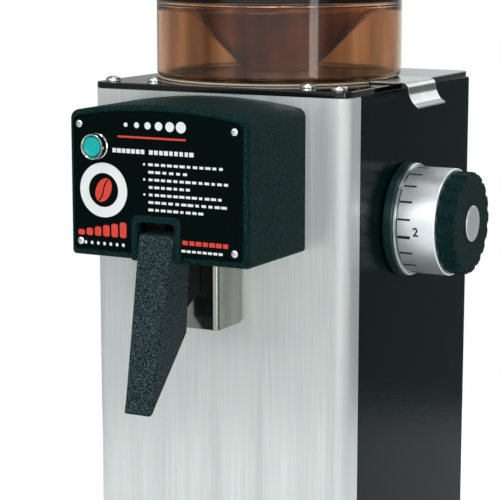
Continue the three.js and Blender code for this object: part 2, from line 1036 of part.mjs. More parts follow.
function inletChute() {
  const low = axisZ + inletBossHeight + seatGap;
  const high = bodyTop;
  const skin = (lowRadius, highRadius, margin) => {
    const ringAt = (x, radius, z) => {
      const points = [];
      for (let i = 0; i < mediumRound; i += 1) {
        const angle = (2 * Math.PI * i) / mediumRound;
        points.push(place(x + radius * Math.cos(angle), grindAxisY + radius * Math.sin(angle), z));
      }
      return points;
    };
    return loft([ringAt(inletX, lowRadius, low - margin), ringAt(0, highRadius, high + margin)]);
  };
  const outer = skin(inletRadius + inletWall, throatRadius + inletWall, 0);
  const inner = skin(inletRadius, throatRadius, seatGap);
  return cut(outer, [inner]);
}

function outletChute() {
  const middle = outletMiddle();
  const rear = outletBossReach - seatGap;
  const level = drop(chuteDrop);
  const skin = (reach, margin) => {
    const frame = (x, y, z) => [
      place(x - reach, y, z - reach),
      place(x - reach, y, z + reach),
      place(x + reach, y, z + reach),
      place(x + reach, y, z - reach),
    ];
    return loft([
      frame(0, -chuteInSpout - margin, level),
      frame(0, chuteStraight, level),
      frame(middle, rear + margin, axisZ + outletRise),
    ]);
  };
  return cut(skin(outletHalfWidth + outletWall, 0), [skin(outletHalfWidth, seatGap)]);
}

function burr(start, grooveStart) {
  const blank = ring("x", burrBore, burrRadius, start, start + burrThickness, axis, mediumRound);
  const grooves = [];
  for (let i = 0; i < burrGrooves; i += 1) {
    const groove = new THREE.BoxGeometry(burrGrooveDepth, burrRadius, burrGrooveWidth);
    groove.translate(grooveStart + burrGrooveDepth / 2, burrRadius / 2 + burrGrooveStart, 0);
    groove.rotateX((2 * Math.PI * i) / burrGrooves);
    groove.translate(0, grindAxisY, axisZ);
    grooves.push(solid(groove));
  }
  return cut(blank, grooves);
}

function burrHolder() {
  const bore = shaftRadius + seatGap;
  const disc = ring("x", bore, burrRadius, holderStart, holderEnd, axis, mediumRound);
  const boss = ring("x", bore, burrBore - seatGap, turningBurrStart, holderEnd, axis, mediumRound);
  return joined([disc, boss]);
}

function feedScrew() {
  const start = feedStart + feedClearance;
  const end = turningBurrStart - seatGap;
  const hub = ring("x", shaftRadius + seatGap, feedHubRadius, start, end, axis);
  const depth = feedFlightRadius - feedHubRadius;
  const near = feedFlightThickness / 2;
  const section = [
    [-feedFlightRoot, -near],
    [-feedFlightRoot, near],
    [depth, near],
    [depth, -near],
  ];
  const flightStart = start + near;
  const turns = (end - near - flightStart) / feedPitch;
  const flight = winding("x", section, feedHubRadius, flightStart, feedPitch, turns, axis);
  return joined([hub, flight]);
}

function thrustBearing() {
  return ring("x", shaftRadius + seatGap, thrustRadius, thrustStart, shaftEnd, axis, mediumRound);
}

function adjusterSpindle() {
  const floor = shaftEnd + seatGap;
  const outer = thrustRadius + seatGap + cupWall;
  const profile = [
    [0, floor],
    [thrustRadius + seatGap, floor],
    [thrustRadius + seatGap, thrustStart + slideGap],
    [outer, thrustStart + slideGap],
    [outer, floor + cupFloor],
    [spindleRadius, floor + cupFloor],
    [spindleRadius, dialBoreEnd - slideGap],
    [0, dialBoreEnd - slideGap],
  ];
  return turned("x", profile, axis, mediumRound);
}

function chamberCover() {
  const cupRadius = thrustRadius + seatGap + cupWall + holeGap;
  const profile = [
    [cupRadius, chamberCoverStart],
    [chamberRadius, chamberCoverStart],
    [chamberRadius, chamberCoverStart + chamberCoverThickness],
    [neckRadius, chamberCoverStart + chamberCoverThickness],
    [neckRadius, half + seatGap],
    [threadRadius, half + seatGap],
    [threadRadius, threadEnd],
    [spindleRadius + holeGap, threadEnd],
    [spindleRadius + holeGap, chamberCoverStart + neckBoreDepth],
    [cupRadius, chamberCoverStart + neckBoreDepth],
  ];
  return turned("x", profile, axis, mediumRound);
}

// Electrical pieces in the lower body

const glandCentre = place(-half + glandInset, 0, glandHeight);
const capacitorX = -half + capacitorSideInset;
const capacitorY = bodyDepth - capacitorRearInset;

function runCapacitor() {
  const centre = place(capacitorX, capacitorY, 0);
  const can = rod("z", capacitorRadius, bodyBottom, bodyBottom + capacitorHeight, centre, mediumRound);
  const top = bodyBottom + capacitorHeight;
  const terminals = [-1, 1].map((side) =>
    box(
      capacitorX + side * terminalSpacing - terminalThickness / 2,
      capacitorX + side * terminalSpacing + terminalThickness / 2,
      capacitorY - terminalWidth / 2,
      capacitorY + terminalWidth / 2,
      top - terminalThickness,
      top + terminalHeight,
    ),
  );
  return joined([can, ...terminals]);
}

function cableGland() {
  const face = bodyDepth + seatGap + rearCoverThickness + seatGap;
  const profile = [
    [glandBore, face - glandTail],
    [glandBarrel, face - glandTail],
    [glandBarrel, face],
    [glandBody, face],
    [glandBody, face + glandReach / 2],
    [glandBarrel, face + glandReach],
    [glandBore, face + glandReach],
  ];
  return turned("y", profile, glandCentre, smallRound);
}

// Outlet cover: an arched front outline, drawn in at the front edge and slightly wider at the rear

function coverOutline(halfWidth, inset, bottomDrop, y) {
  const side = halfWidth - inset;
  const floor = drop(bottomDrop) + inset;
  const rise = coverArchRise;
  const archRadius = (halfWidth * halfWidth + rise * rise) / (2 * rise);
  const archZ = drop(coverShoulderDrop) + rise - archRadius;
  const radius = archRadius - inset;
  const corner = coverTopCorner - inset / 2;
  const cornerZ = archZ + Math.sqrt((radius - corner) ** 2 - (side - corner) ** 2);
  const lean = Math.atan2(cornerZ - archZ, side - corner);
  const low = coverBottomCorner;
  const points = [];
  const arc = (x, z, size, from, to, steps) => {
    for (let i = 0; i <= steps; i += 1) {
      const angle = from + ((to - from) * i) / steps;
      points.push(place(x + size * Math.cos(angle), y, z + size * Math.sin(angle)));
    }
  };
  const quarter = Math.PI / 2;
  arc(-side + low, floor + low, low, 2 * quarter, 3 * quarter, cornerSteps);
  arc(side - low, floor + low, low, -quarter, 0, cornerSteps);
  arc(side - corner, cornerZ, corner, 0, lean, cornerSteps);
  arc(0, archZ, radius, lean, 2 * quarter - lean, archSteps);
  arc(-side + corner, cornerZ, corner, 2 * quarter - lean, 2 * quarter, cornerSteps);
  return points.filter((point, i) => i === 0 || point.distanceTo(points[i - 1]) > weldDistance);
}

function slotTool(margin, corner, lowY, highY) {
  const side = slotHalfWidth + margin;
  const top = drop(slotTopDrop) + margin;
  const bottom = drop(coverBottomDrop) - overrun;
  return prismY(roundRect(-side, bottom, side, top, corner), lowY, highY);
}

function outletCover() {
  const rings = [];
  for (let i = 0; i <= edgeSteps; i += 1) {
    const angle = (Math.PI / 2) * (i / edgeSteps);
    const inset = coverEdge * (1 - Math.sin(angle));
    const y = coverFront + coverEdge * (1 - Math.cos(angle));
    rings.push(coverOutline(coverHalfFront, inset, coverBottomDrop, y));
  }
  rings.push(coverOutline(coverHalfRear, 0, coverBottomDrop, -seatGap));
  const outer = loft(rings.reverse());
  const inner = loft([
    coverOutline(coverHalfRear, coverWall, coverBottomDrop, overrun),
    coverOutline(coverHalfFront, coverWall, coverBottomDrop, coverFront + coverWall),
  ]);
  const skirt = drop(coverBottomDrop);
  const opening = box(
    -coverOpeningHalf,
    coverOpeningHalf,
    -coverOpeningFront,
    overrun,
    skirt - overrun,
    skirt + coverWall + overrun / 2,
  );
  const rim = cut(slotTool(rimWidth, rimTopCorner, coverFront - rimProud, coverFront + coverWall / 2), [
    box(-half, half, coverFront - rimProud - overrun, 0, skirt - 2 * overrun, skirt),
  ]);
  const ears = [-1, 1].map((side) => {
    const near = side * earInner;
    const far = side * (earInner + earThickness);
    return box(
      Math.min(near, far),
      Math.max(near, far),
      coverFront + coverWall / 2,
      -earRear,
      drop(earBottomDrop),
      drop(earTopDrop),
    );
  });
  const screwHoles = labelScrewPlaces.map(([x, z]) =>
    rod("y", labelScrewShank + holeGap, coverFront - overrun, coverFront + 2 * overrun, place(x, 0, z)),
  );
  return cut(joined([cut(outer, [inner, opening]), rim, ...ears]), [
    slotTool(0, slotCorner, coverFront - rimProud - overrun, -coverOpeningFront + seatGap),
    rod("y", bezelBarrel + holeGap, coverFront - overrun, coverFront + coverWall + overrun, buttonCentre),
    rod("x", pinRadius + holeGap, -earInner - overrun * 2, earInner + overrun * 2, pinCentre),
    ...screwHoles,
  ]);
}

const labelScrewPlaces = [
  [-labelScrewX, drop(labelScrewTopDrop)],
  [labelScrewX, drop(labelScrewTopDrop)],
  [-labelScrewX, drop(labelScrewBottomDrop)],
  [labelScrewX, drop(labelScrewBottomDrop)],
];

function labelPlate() {
  const rear = coverFront - seatGap;
  const sheet = loft([
    coverOutline(coverHalfFront, labelInset, labelBottomDrop + labelInset, rear),
    coverOutline(coverHalfFront, labelInset, labelBottomDrop + labelInset, labelFront),
  ]);
  const front = labelFront - overrun;
  const behind = rear + overrun;
  const screwHoles = labelScrewPlaces.map(([x, z]) =>
    rod("y", labelScrewShank + holeGap, front, behind, place(x, 0, z)),
  );
  return cut(sheet, [
    slotTool(rimWidth + seatGap, rimTopCorner + seatGap, front, behind),
    rod("y", bezelBarrel + holeGap, front, behind, buttonCentre),
    ...screwHoles,
  ]);
}

function labelScrew([x, z]) {
  const seat = labelFront - seatGap;
  const front = seat - labelScrewHeadHeight;
  const profile = [
    [0, front],
    [labelScrewCrown, front + labelScrewBevel],
    [labelScrewHead, front + labelScrewDome],
    [labelScrewHead, seat],
    [labelScrewShank, seat],
    [labelScrewShank, seat + labelScrewLength],
    [0, seat + labelScrewLength],
  ];
  return turned("y", profile, place(x, 0, z), smallRound);
}

// Start button

const buttonCentre = place(buttonX, 0, drop(buttonDrop));
const bezelFront = labelFront - bezelProud;
const bezelSeat = labelFront - seatGap;
const barrelEnd = bezelSeat + bezelBarrelLength;
const buttonFront = bezelFront + buttonSunk;
const buttonRear = buttonFront + buttonLength;
const switchFront = barrelEnd + seatGap;

function buttonBezel() {
  const bore = buttonRadius + holeGap;
  const profile = [
    [bore, bezelFront],
    [bezelRadius - bezelChamfer, bezelFront],
    [bezelRadius, bezelFront + bezelChamfer],
    [bezelRadius, bezelSeat],
    [bezelBarrel, bezelSeat],
    [bezelBarrel, barrelEnd],
    [bore, barrelEnd],
  ];
  return turned("y", profile, buttonCentre, mediumRound);
}

function startButton() {
  const profile = [
    [0, buttonFront],
    [buttonRadius - buttonEdge, buttonFront],
    [buttonRadius, buttonFront + buttonEdge],
    [buttonRadius, buttonRear],
    [0, buttonRear],
  ];
  return turned("y", profile, buttonCentre, mediumRound);
}

function buttonSpring() {
  const start = buttonRear + seatGap + springWire;
  const end = switchFront - seatGap - springWire;
  const pitch = (end - start) / buttonSpringTurns;
  const section = wireSection(springWire);
  return winding("y", section, buttonSpringRadius, start, pitch, buttonSpringTurns, buttonCentre);
}

function switchBody() {
  return box(
    buttonX - switchHalf,
    buttonX + switchHalf,
    switchFront,
    switchFront + switchDepth,
    drop(buttonDrop) - switchHalf,
    drop(buttonDrop) + switchHalf,
  );
}

// Spout and bag-clamp lever

const pinCentre = place(0, -pinY, drop(pinDrop));

function spout() {
  const front = -spoutDepth;
  const rear = -seatGap;
  const outer = roundRect(-spoutHalfWidth, front, spoutHalfWidth, rear, spoutCorner);
  const inner = roundRect(
    -spoutHalfWidth + spoutWall,
    front + spoutWall,
    spoutHalfWidth - spoutWall,
    rear - spoutWall,
    spoutCorner - spoutWall,
  );
  const top = drop(spoutTopDrop);
  const bottom = drop(spoutBottomDrop);
  return cut(prismZ(outer, bottom, top), [
    prismZ(inner, bottom - overrun, top - spoutWall),
    chuteWindow(rear - spoutWall * 2, overrun),
  ]);
}

// The lever's front leans forward and its sides draw in evenly from top to bottom. Its rear is upright
// beside the spout, and below the knee it runs forward to a thin end.
function leverSection(distance, edge) {
  const share = (distance - leverTopDrop) / (leverBottomDrop - leverTopDrop);
  const front = -(leverTopFront + (leverBottomFront - leverTopFront) * share);
  const side = leverTopHalf + (leverBottomHalf - leverTopHalf) * share;
  const kneeShare = (distance - leverKneeDrop) / (leverBottomDrop - leverKneeDrop);
  const tipRear = leverBottomFront - leverTipThickness;
  const upright = (distance - leverTopDrop) / (leverKneeDrop - leverTopDrop);
  const rear =
    distance < leverKneeDrop
      ? -(leverRear + (leverKneeRear - leverRear) * upright)
      : -(leverKneeRear + (tipRear - leverKneeRear) * kneeShare);
  const z = drop(distance);
  const slant = Math.min(edge, (rear - front) * leverEdgeShare);
  return [
    place(-side, rear, z),
    place(-side, front + slant, z),
    place(-side + slant, front, z),
    place(side - slant, front, z),
    place(side, front + slant, z),
    place(side, rear, z),
  ];
}

function lever() {
  const top = leverSection(leverTopDrop, leverEdge).map((point) => {
    const y = Math.max(point.y, -leverTopFront + leverTopEdge);
    return place(point.x * leverTopShare, y, point.z);
  });
  const stations = [leverTopDrop + leverTopEdge, leverKneeDrop, leverBottomDrop];
  const rings = [top, ...stations.map((distance) => leverSection(distance, leverEdge))];
  return cut(loft(rings.reverse()), [
    rod("x", pinRadius + holeGap, -half, half, pinCentre),
  ]);
}

function leverPin() {
  const reach = earInner + earThickness;
  return rod("x", pinRadius, -reach, reach, pinCentre);
}

function leverSpring() {
  const start = leverTopHalf + leverSpringSpace + springWire;
  const end = earInner - leverSpringSpace - springWire;
  const pitch = (end - start) / leverSpringTurns;
  const section = wireSection(springWire);
  return winding("x", section, leverSpringRadius, start, pitch, leverSpringTurns, pinCentre);
}

function clampPad() {
  const near = -leverRear + padSeat;
  const far = -spoutDepth - seatGap;
  const outline = outlineOf([
    [near, drop(padTopDrop)],
    [near, drop(padFrontBottomDrop)],
    [far, drop(padRearBottomDrop)],
    [far, drop(padTopDrop)],
  ]);
  return prismX(outline, -padHalfWidth, padHalfWidth);
}

// Granulation dial

const flangeStart = half + dialStandOff;
const flangeEnd = flangeStart + dialFlangeThickness;
const coreStart = flangeEnd + seatGap;
const ringEnd = coreStart + dialRingWidth;
const drumStart = ringEnd + seatGap;
const drumEnd = drumStart + dialDrumLength;
const gripStart = drumEnd + seatGap;
const gripEnd = gripStart + dialGripLength;

function dialFlange() {
  const profile = [
    [threadRadius + holeGap, flangeStart],
    [dialFlangeRadius - dialFlangeEdge, flangeStart],
    [dialFlangeRadius, flangeStart + dialFlangeEdge],
    [dialFlangeRadius, flangeEnd],
    [threadRadius + holeGap, flangeEnd],
  ];
  return turned("x", profile, axis, largeRound);
}

function dialRing() {
  const profile = [
    [dialCoreRadius + seatGap, coreStart],
    [dialRingRadius, coreStart],
    [dialRingNarrow, ringEnd],
    [dialCoreRadius + seatGap, ringEnd],
  ];
  return turned("x", profile, axis, largeRound);
}

function dialDrum() {
  return ring("x", dialCoreRadius + seatGap, dialDrumRadius, drumStart, drumEnd, axis, largeRound);
}

function dialGrip() {
  const core = rod("x", dialCoreRadius, coreStart, gripStart + dialGripEdge, axis, largeRound);
  const headProfile = [
    [0, gripStart],
    [dialGripRadius, gripStart],
    [dialGripRadius, gripEnd - dialGripEdge],
    [dialGripRadius - dialGripEdge, gripEnd],
    [0, gripEnd],
  ];
  const head = turned("x", headProfile, axis, largeRound);
  const fluteStart = gripStart + dialGripEdge;
  const flutes = [];
  for (let i = 0; i < dialFlutes; i += 1) {
    const angle = (2 * Math.PI * i) / dialFlutes;
    const out = dialGripRadius + dialFluteRadius - dialFluteDepth;
    const centre = place(0, grindAxisY + out * Math.cos(angle), axisZ + out * Math.sin(angle));
    flutes.push(rod("x", dialFluteRadius, fluteStart, gripEnd + overrun, centre, dialFluteSides));
  }
  const bore = rod("x", threadRadius + holeGap, coreStart - overrun, dialBoreEnd, axis, mediumRound);
  return cut(joined([core, head]), [bore, ...flutes]);
}

function dialCap() {
  const start = gripEnd + seatGap;
  return rod("x", dialCapRadius, start, start + dialCapThickness, axis, mediumRound);
}

// Finishes: colour, roughness and metalness

const finishes = {
  hammerPaint: [0x101413, 0.38, 0.0],
  textureBlack: [0x1a1d1d, 0.55, 0.0],
  glossBlack: [0x08090a, 0.12, 0.0],
  labelBlack: [0x07090a, 0.3, 0.0],
  brushedSteel: [0xb4b5b0, 0.34, 1.0],
  chrome: [0xd6d8d8, 0.08, 1.0],
  spoutChrome: [0xb9bbb4, 0.12, 1.0],
  screwSteel: [0xc8cac8, 0.22, 1.0],
  tintedClear: [0x6b4636, 0.06, 0.0],
  cream: [0xe8dfc8, 0.5, 0.0],
  rubber: [0x151616, 0.8, 0.0],
  castMetal: [0x8d8f8e, 0.55, 1.0],
  burrSteel: [0x9a9a98, 0.35, 1.0],
  shaftSteel: [0xa8aaa9, 0.25, 1.0],
  copperAndIron: [0x6a4a38, 0.5, 0.6],
  zincSheet: [0xa9adae, 0.4, 1.0],
  capacitorShell: [0xd0d2d2, 0.45, 0.2],
  nylon: [0x1c1e20, 0.5, 0.0],
  greenCap: [0x16a79f, 0.25, 0.0],
  springSteel: [0x9c9ea0, 0.3, 1.0],
  dialSilver: [0xc9ccd0, 0.3, 0.9],
};

function node(name, body, finishName) {
  const raw = body.getMesh();
  const geometry = new THREE.BufferGeometry();
  geometry.setAttribute("position", new THREE.Float32BufferAttribute(raw.vertProperties, 3));
  geometry.setIndex(Array.from(raw.triVerts));
  geometry.computeVertexNormals();
  const [color, roughness, metalness] = finishes[finishName];
  const material = new THREE.MeshStandardMaterial({ color, roughness, metalness, flatShading: true });
  const mesh = new THREE.Mesh(geometry, material);
  mesh.name = name;
  return mesh;
}

const machine = new THREE.Group();

// Stands on the table
machine.add(node("base_casting", baseCasting(), "textureBlack"));
footPlaces.forEach((spot, i) => {
  machine.add(node(`foot_${i + 1}`, foot(spot), "rubber"));
});
machine.add(node("bag_tray", bagTray(), "brushedSteel"));

// Body
machine.add(node("body_casting", bodyCasting(), "hammerPaint"));
machine.add(node("front_panel", frontPanel(), "brushedSteel"));
machine.add(node("rear_cover", rearCover(), "textureBlack"));
machine.add(node("top_plate", topPlate(), "glossBlack"));
plateScrewPlaces.forEach((spot, i) => {
  machine.add(node(`top_plate_screw_${i + 1}`, plateScrew(spot), "screwSteel"));
});

// Hopper
machine.add(node("hopper_seal", hopperSeal(), "cream"));
machine.add(node("hopper", hopper(), "tintedClear"));
machine.add(node("hopper_lid", hopperLid(), "glossBlack"));
machine.add(node("shutter_plate", shutterPlate(), "chrome"));
machine.add(node("shutter_guide", shutterGuide(), "cream"));

// Motor and grinding set
machine.add(node("motor_shaft", motorShaft(), "shaftSteel"));
machine.add(node("cooling_fan", coolingFan(), "nylon"));
machine.add(
  node(
    "motor_shield_left",
    motorShield(leftShieldStart, leftShieldStart + shieldPlate, leftBearingStart),
    "castMetal",
  ),
);
machine.add(
  node(
    "motor_shield_right",
    motorShield(rightShieldEnd - shieldPlate, rightShieldStart, rightBearingStart),
    "castMetal",
  ),
);
machine.add(node("bearing_left", bearing(leftBearingStart), "shaftSteel"));
machine.add(node("bearing_right", bearing(rightBearingStart), "shaftSteel"));
machine.add(node("motor_stator", motorStator(), "copperAndIron"));
machine.add(node("rotor_core", rotorCore(), "castMetal"));
machine.add(node("motor_bracket", motorBracket(), "zincSheet"));
machine.add(node("inlet_chute", inletChute(), "nylon"));
machine.add(node("grinding_chamber", grindingChamber(), "castMetal"));
machine.add(node("chamber_cover", chamberCover(), "castMetal"));
machine.add(node("fixed_burr", burr(fixedBurrStart, fixedGrooveStart), "burrSteel"));
machine.add(node("rotating_burr", burr(turningBurrStart, turningBurrStart), "burrSteel"));
machine.add(node("burr_holder", burrHolder(), "castMetal"));
machine.add(node("feed_screw", feedScrew(), "burrSteel"));
machine.add(node("thrust_bearing", thrustBearing(), "shaftSteel"));
machine.add(node("adjuster_spindle", adjusterSpindle(), "shaftSteel"));
machine.add(node("run_capacitor", runCapacitor(), "capacitorShell"));
machine.add(node("cable_gland", cableGland(), "nylon"));

// Outlet housing, label and button
machine.add(node("outlet_chute", outletChute(), "nylon"));
machine.add(node("outlet_cover", outletCover(), "textureBlack"));
machine.add(node("label_plate", labelPlate(), "labelBlack"));
labelScrewPlaces.forEach((spot, i) => {
  machine.add(node(`label_screw_${i + 1}`, labelScrew(spot), "screwSteel"));
});
machine.add(node("button_bezel", buttonBezel(), "chrome"));
machine.add(node("start_button", startButton(), "greenCap"));
machine.add(node("button_spring", buttonSpring(), "springSteel"));
machine.add(node("switch_body", switchBody(), "nylon"));

// Spout and bag clamp
machine.add(node("spout", spout(), "spoutChrome"));
machine.add(node("lever", lever(), "textureBlack"));
machine.add(node("lever_pin", leverPin(), "shaftSteel"));
machine.add(node("lever_spring", leverSpring(), "springSteel"));
machine.add(node("clamp_pad", clampPad(), "rubber"));

// Dial
machine.add(node("dial_flange", dialFlange(), "glossBlack"));
machine.add(node("dial_ring", dialRing(), "chrome"));
machine.add(node("dial_drum", dialDrum(), "dialSilver"));
machine.add(node("dial_grip", dialGrip(), "textureBlack"));
machine.add(node("dial_cap", dialCap(), "dialSilver"));

// The part's own origin is the middle of the bottom of its bounding box.
const extent = new THREE.Box3().setFromObject(machine);
machine.position.set(
  -(extent.min.x + extent.max.x) / 2,
  -(extent.min.y + extent.max.y) / 2,
  -extent.min.z,
);

export default machine;
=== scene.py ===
# %% [markdown]
# # A counter-top coffee grinder
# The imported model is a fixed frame: it says where every piece sits and how it moves. This script
# dresses it. Pieces that are round or rounded on the real machine are made again here with fine,
# smooth surfaces. The pieces inside the machine keep their shape and only get their materials.

# %% Load the frame
import json
import math
import bmesh
import bpy
from mathutils import Matrix, Vector


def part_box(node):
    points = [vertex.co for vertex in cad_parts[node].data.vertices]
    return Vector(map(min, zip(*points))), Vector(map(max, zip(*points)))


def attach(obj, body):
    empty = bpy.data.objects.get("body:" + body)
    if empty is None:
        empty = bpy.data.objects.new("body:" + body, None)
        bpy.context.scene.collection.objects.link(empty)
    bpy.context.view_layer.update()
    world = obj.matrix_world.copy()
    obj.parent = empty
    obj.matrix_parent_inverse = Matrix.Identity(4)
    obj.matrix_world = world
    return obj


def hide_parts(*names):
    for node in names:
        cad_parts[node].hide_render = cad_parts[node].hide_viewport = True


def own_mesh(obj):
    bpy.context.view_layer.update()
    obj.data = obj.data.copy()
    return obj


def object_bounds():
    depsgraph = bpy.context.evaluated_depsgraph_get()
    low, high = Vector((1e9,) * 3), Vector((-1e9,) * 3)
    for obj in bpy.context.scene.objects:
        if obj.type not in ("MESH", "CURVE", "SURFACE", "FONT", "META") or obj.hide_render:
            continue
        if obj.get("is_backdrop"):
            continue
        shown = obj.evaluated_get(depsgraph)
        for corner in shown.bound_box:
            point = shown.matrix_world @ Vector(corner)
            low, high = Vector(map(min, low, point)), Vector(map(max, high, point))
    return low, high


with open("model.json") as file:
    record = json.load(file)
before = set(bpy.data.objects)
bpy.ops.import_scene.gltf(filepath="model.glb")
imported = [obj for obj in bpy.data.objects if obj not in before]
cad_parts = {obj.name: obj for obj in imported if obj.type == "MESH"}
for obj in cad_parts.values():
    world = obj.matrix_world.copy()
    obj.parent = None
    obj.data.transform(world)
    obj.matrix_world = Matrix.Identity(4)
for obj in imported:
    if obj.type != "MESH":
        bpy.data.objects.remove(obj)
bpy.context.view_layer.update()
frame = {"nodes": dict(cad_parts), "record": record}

# %% [markdown]
# ## Measuring from the front panel
# A maker measures this machine in millimetres: sideways from the middle of the body, back from the
# face of the steel front panel, and up from the table. Every piece is drawn that way, and one matrix
# moves it into the part's own frame, which is in metres.

# %% The matrix from panel millimetres to the part's frame
mm = 0.001
panel_low, panel_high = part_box("front_panel")
panel_middle = Vector(((panel_low[0] + panel_high[0]) / 2, panel_low[1], 0))
to_part = Matrix.Translation(panel_middle) @ Matrix.Scale(mm, 4)
print("panel middle:", [round(value, 5) for value in panel_middle])

# %% [markdown]
# ## Tools for making meshes
# Four ways of making a shape cover nearly all of the machine: rounding the corners of a drawn
# outline, turning a profile about a line, stacking outlines into a closed skin, and cutting one
# shape with another. A shape is a bmesh until `settle` makes an object of it.

# %% Rounding the corners of a drawn outline
quarter_turn = math.pi / 2
straight_share = 0.999
reach_share = 0.49
least_corner_share = 0.1


def arc(steps, first=0):
    """The angles of a quarter turn in equal steps."""
    return [quarter_turn * i / steps for i in range(first, steps + 1)]


def circle(steps):
    return [2 * math.pi * i / steps for i in range(steps)]


def rounded(points, radii, steps=5):
    """A closed flat outline with its corners rounded; radii is one number or one for each corner."""
    if not isinstance(radii, (list, tuple)):
        radii = [radii] * len(points)
    corners = []
    for i, radius in enumerate(radii):
        here = Vector(points[i])
        back = Vector(points[i - 1]) - here
        ahead = Vector(points[(i + 1) % len(points)]) - here
        half_angle = back.angle(ahead) / 2
        if radius <= 0 or half_angle > quarter_turn * straight_share:
            corners.append(tuple(here))
            continue
        longest = min(back.length, ahead.length) * reach_share
        reach = min(radius / math.tan(half_angle), longest)
        size = reach * math.tan(half_angle)
        bisector = (back.normalized() + ahead.normalized()).normalized()
        middle = here + bisector * size / math.sin(half_angle)
        start = here + back.normalized() * reach - middle
        end = here + ahead.normalized() * reach - middle
        sweep = math.atan2(start.x * end.y - start.y * end.x, start.dot(end))
        for step in range(steps + 1):
            angle = sweep * step / steps
            turned_x = start.x * math.cos(angle) - start.y * math.sin(angle)
            turned_y = start.x * math.sin(angle) + start.y * math.cos(angle)
            corners.append((middle.x + turned_x, middle.y + turned_y))
    return corners


def rectangle(low_u, low_v, high_u, high_v, corner=0.0, inset=0.0, steps=8):
    """A rectangle with rounded corners, drawn in by an inset that keeps the number of points."""
    left, right, bottom, top = low_u + inset, high_u - inset, low_v + inset, high_v - inset
    points = [(left, bottom), (right, bottom), (right, top), (left, top)]
    if not corner:
        return points
    return rounded(points, max(corner - inset, corner * least_corner_share), steps)


# %% Turning a profile about a line
directions = {
    "x": (Vector((1, 0, 0)), Vector((0, 1, 0)), Vector((0, 0, 1))),
    "y": (Vector((0, 1, 0)), Vector((1, 0, 0)), Vector((0, 0, 1))),
    "z": (Vector((0, 0, 1)), Vector((1, 0, 0)), Vector((0, 1, 0))),
}
weld = 1e-4


def face_out(shape):
    """The faces of a closed shape point outwards when its volume is positive."""
    if shape.calc_volume(signed=True) < 0:
        bmesh.ops.reverse_faces(shape, faces=shape.faces)
    return shape


def turned(profile, direction, centre=(0, 0, 0), steps=96):
    """Turns a profile of (radius, distance along) corners about a line through the centre."""
    along, side, up = directions[direction]
    spokes = [side * math.cos(angle) + up * math.sin(angle) for angle in circle(steps)]
    shape = bmesh.new()
    rows = []
    for radius, distance in profile:
        middle = Vector(centre) + along * distance
        points = [middle] if radius < weld else [middle + spoke * radius for spoke in spokes]
        rows.append([shape.verts.new(point) for point in points])
    pairs = list(zip(rows, rows[1:]))
    if len(rows[0]) > 1 and len(rows[-1]) > 1:
        pairs.append((rows[-1], rows[0]))
    for first, second in pairs:
        a, b = len(first), len(second)
        for i in range(steps):
            loop = [first[i % a], first[(i + 1) % a], second[(i + 1) % b], second[i % b]]
            loop = list(dict.fromkeys(loop))
            if len(loop) > 2:
                shape.faces.new(loop)
    return face_out(shape)


def rod(radius, low, high, direction, centre=(0, 0, 0), edge=0.0, steps=48):
    profile = [(0, low), (radius, low), (radius, high), (0, high)]
    return turned(rounded(profile, [0, edge, edge, 0]), direction, centre, steps)


def tube(inner, outer, low, high, direction, centre=(0, 0, 0), edge=0.0, steps=96):
    profile = [(inner, low), (outer, low), (outer, high), (inner, high)]
    return turned(rounded(profile, edge), direction, centre, steps)


# %% Stacking outlines, pushing one along a line, and rounding a stack's edges


def upright(outline, direction, distance):
    """The points of a flat outline that stands across a direction, at a distance along it."""
    along, side, up = directions[direction]
    return [along * distance + side * u + up * v for u, v in outline]


def stacked(rings):
    """A closed shape through rings of equal numbers of points, with a flat face at each end."""
    shape = bmesh.new()
    rows = [[shape.verts.new(point) for point in ring] for ring in rings]
    count = len(rows[0])
    for first, second in zip(rows, rows[1:]):
        for i in range(count):
            j = (i + 1) % count
            shape.faces.new([first[i], first[j], second[j], second[i]])
    shape.faces.new(list(reversed(rows[0])))
    shape.faces.new(rows[-1])
    return face_out(shape)


def layered(outline, direction, levels):
    """A stack whose outline is drawn anew for the inset and the level of every layer."""
    return stacked([upright(outline(inset, level), direction, level) for inset, level in levels])


def pushed(outline, direction, low, high):
    return stacked([upright(outline, direction, low), upright(outline, direction, high)])


def edge_levels(low, high, low_edge=0.0, high_edge=0.0, steps=4):
    """Pairs of (inset, level) that round the first and the last edge of a stack."""
    def quarter_round(edge):
        angles = arc(steps) if edge else arc(steps)[-1:]
        return [(edge * (1 - math.sin(angle)), edge * (1 - math.cos(angle))) for angle in angles]

    first = [(inset, low + depth) for inset, depth in quarter_round(low_edge)]
    last = [(inset, high - depth) for inset, depth in quarter_round(high_edge)]
    return first + last[::-1]


def block(low, high, direction, corner=0.0, low_edge=0.0, high_edge=0.0, steps=8):
    """A box with rounded upright corners and rounded edges at its two ends along a direction."""
    along, u, v = {"x": (0, 1, 2), "y": (1, 0, 2), "z": (2, 0, 1)}[direction]

    def outline(inset, _):
        return rectangle(low[u], low[v], high[u], high[v], corner, inset, steps)

    return layered(outline, direction, edge_levels(low[along], high[along], low_edge, high_edge))


def offset(point, *steps):
    return tuple(value + step for value, step in zip(point, steps))


# %% Cutting, joining and softening shapes
sliver = 2e-3
soft_angle = 50


def linked(name, data):
    """An object of the data, in the scene."""
    piece = bpy.data.objects.new(name, data)
    bpy.context.scene.collection.objects.link(piece)
    return piece


def as_mesh(shape, name="tool"):
    mesh = bpy.data.meshes.new(name)
    shape.to_mesh(mesh)
    shape.free()
    return mesh


def as_object(shape, name="tool"):
    return linked(name, as_mesh(shape, name))


def drop_object(piece):
    mesh = piece.data
    bpy.data.objects.remove(piece)
    bpy.data.meshes.remove(mesh)


def add_step(piece, kind, **settings):
    step = piece.modifiers.new(kind, kind)
    for key, value in settings.items():
        setattr(step, key, value)
    return step


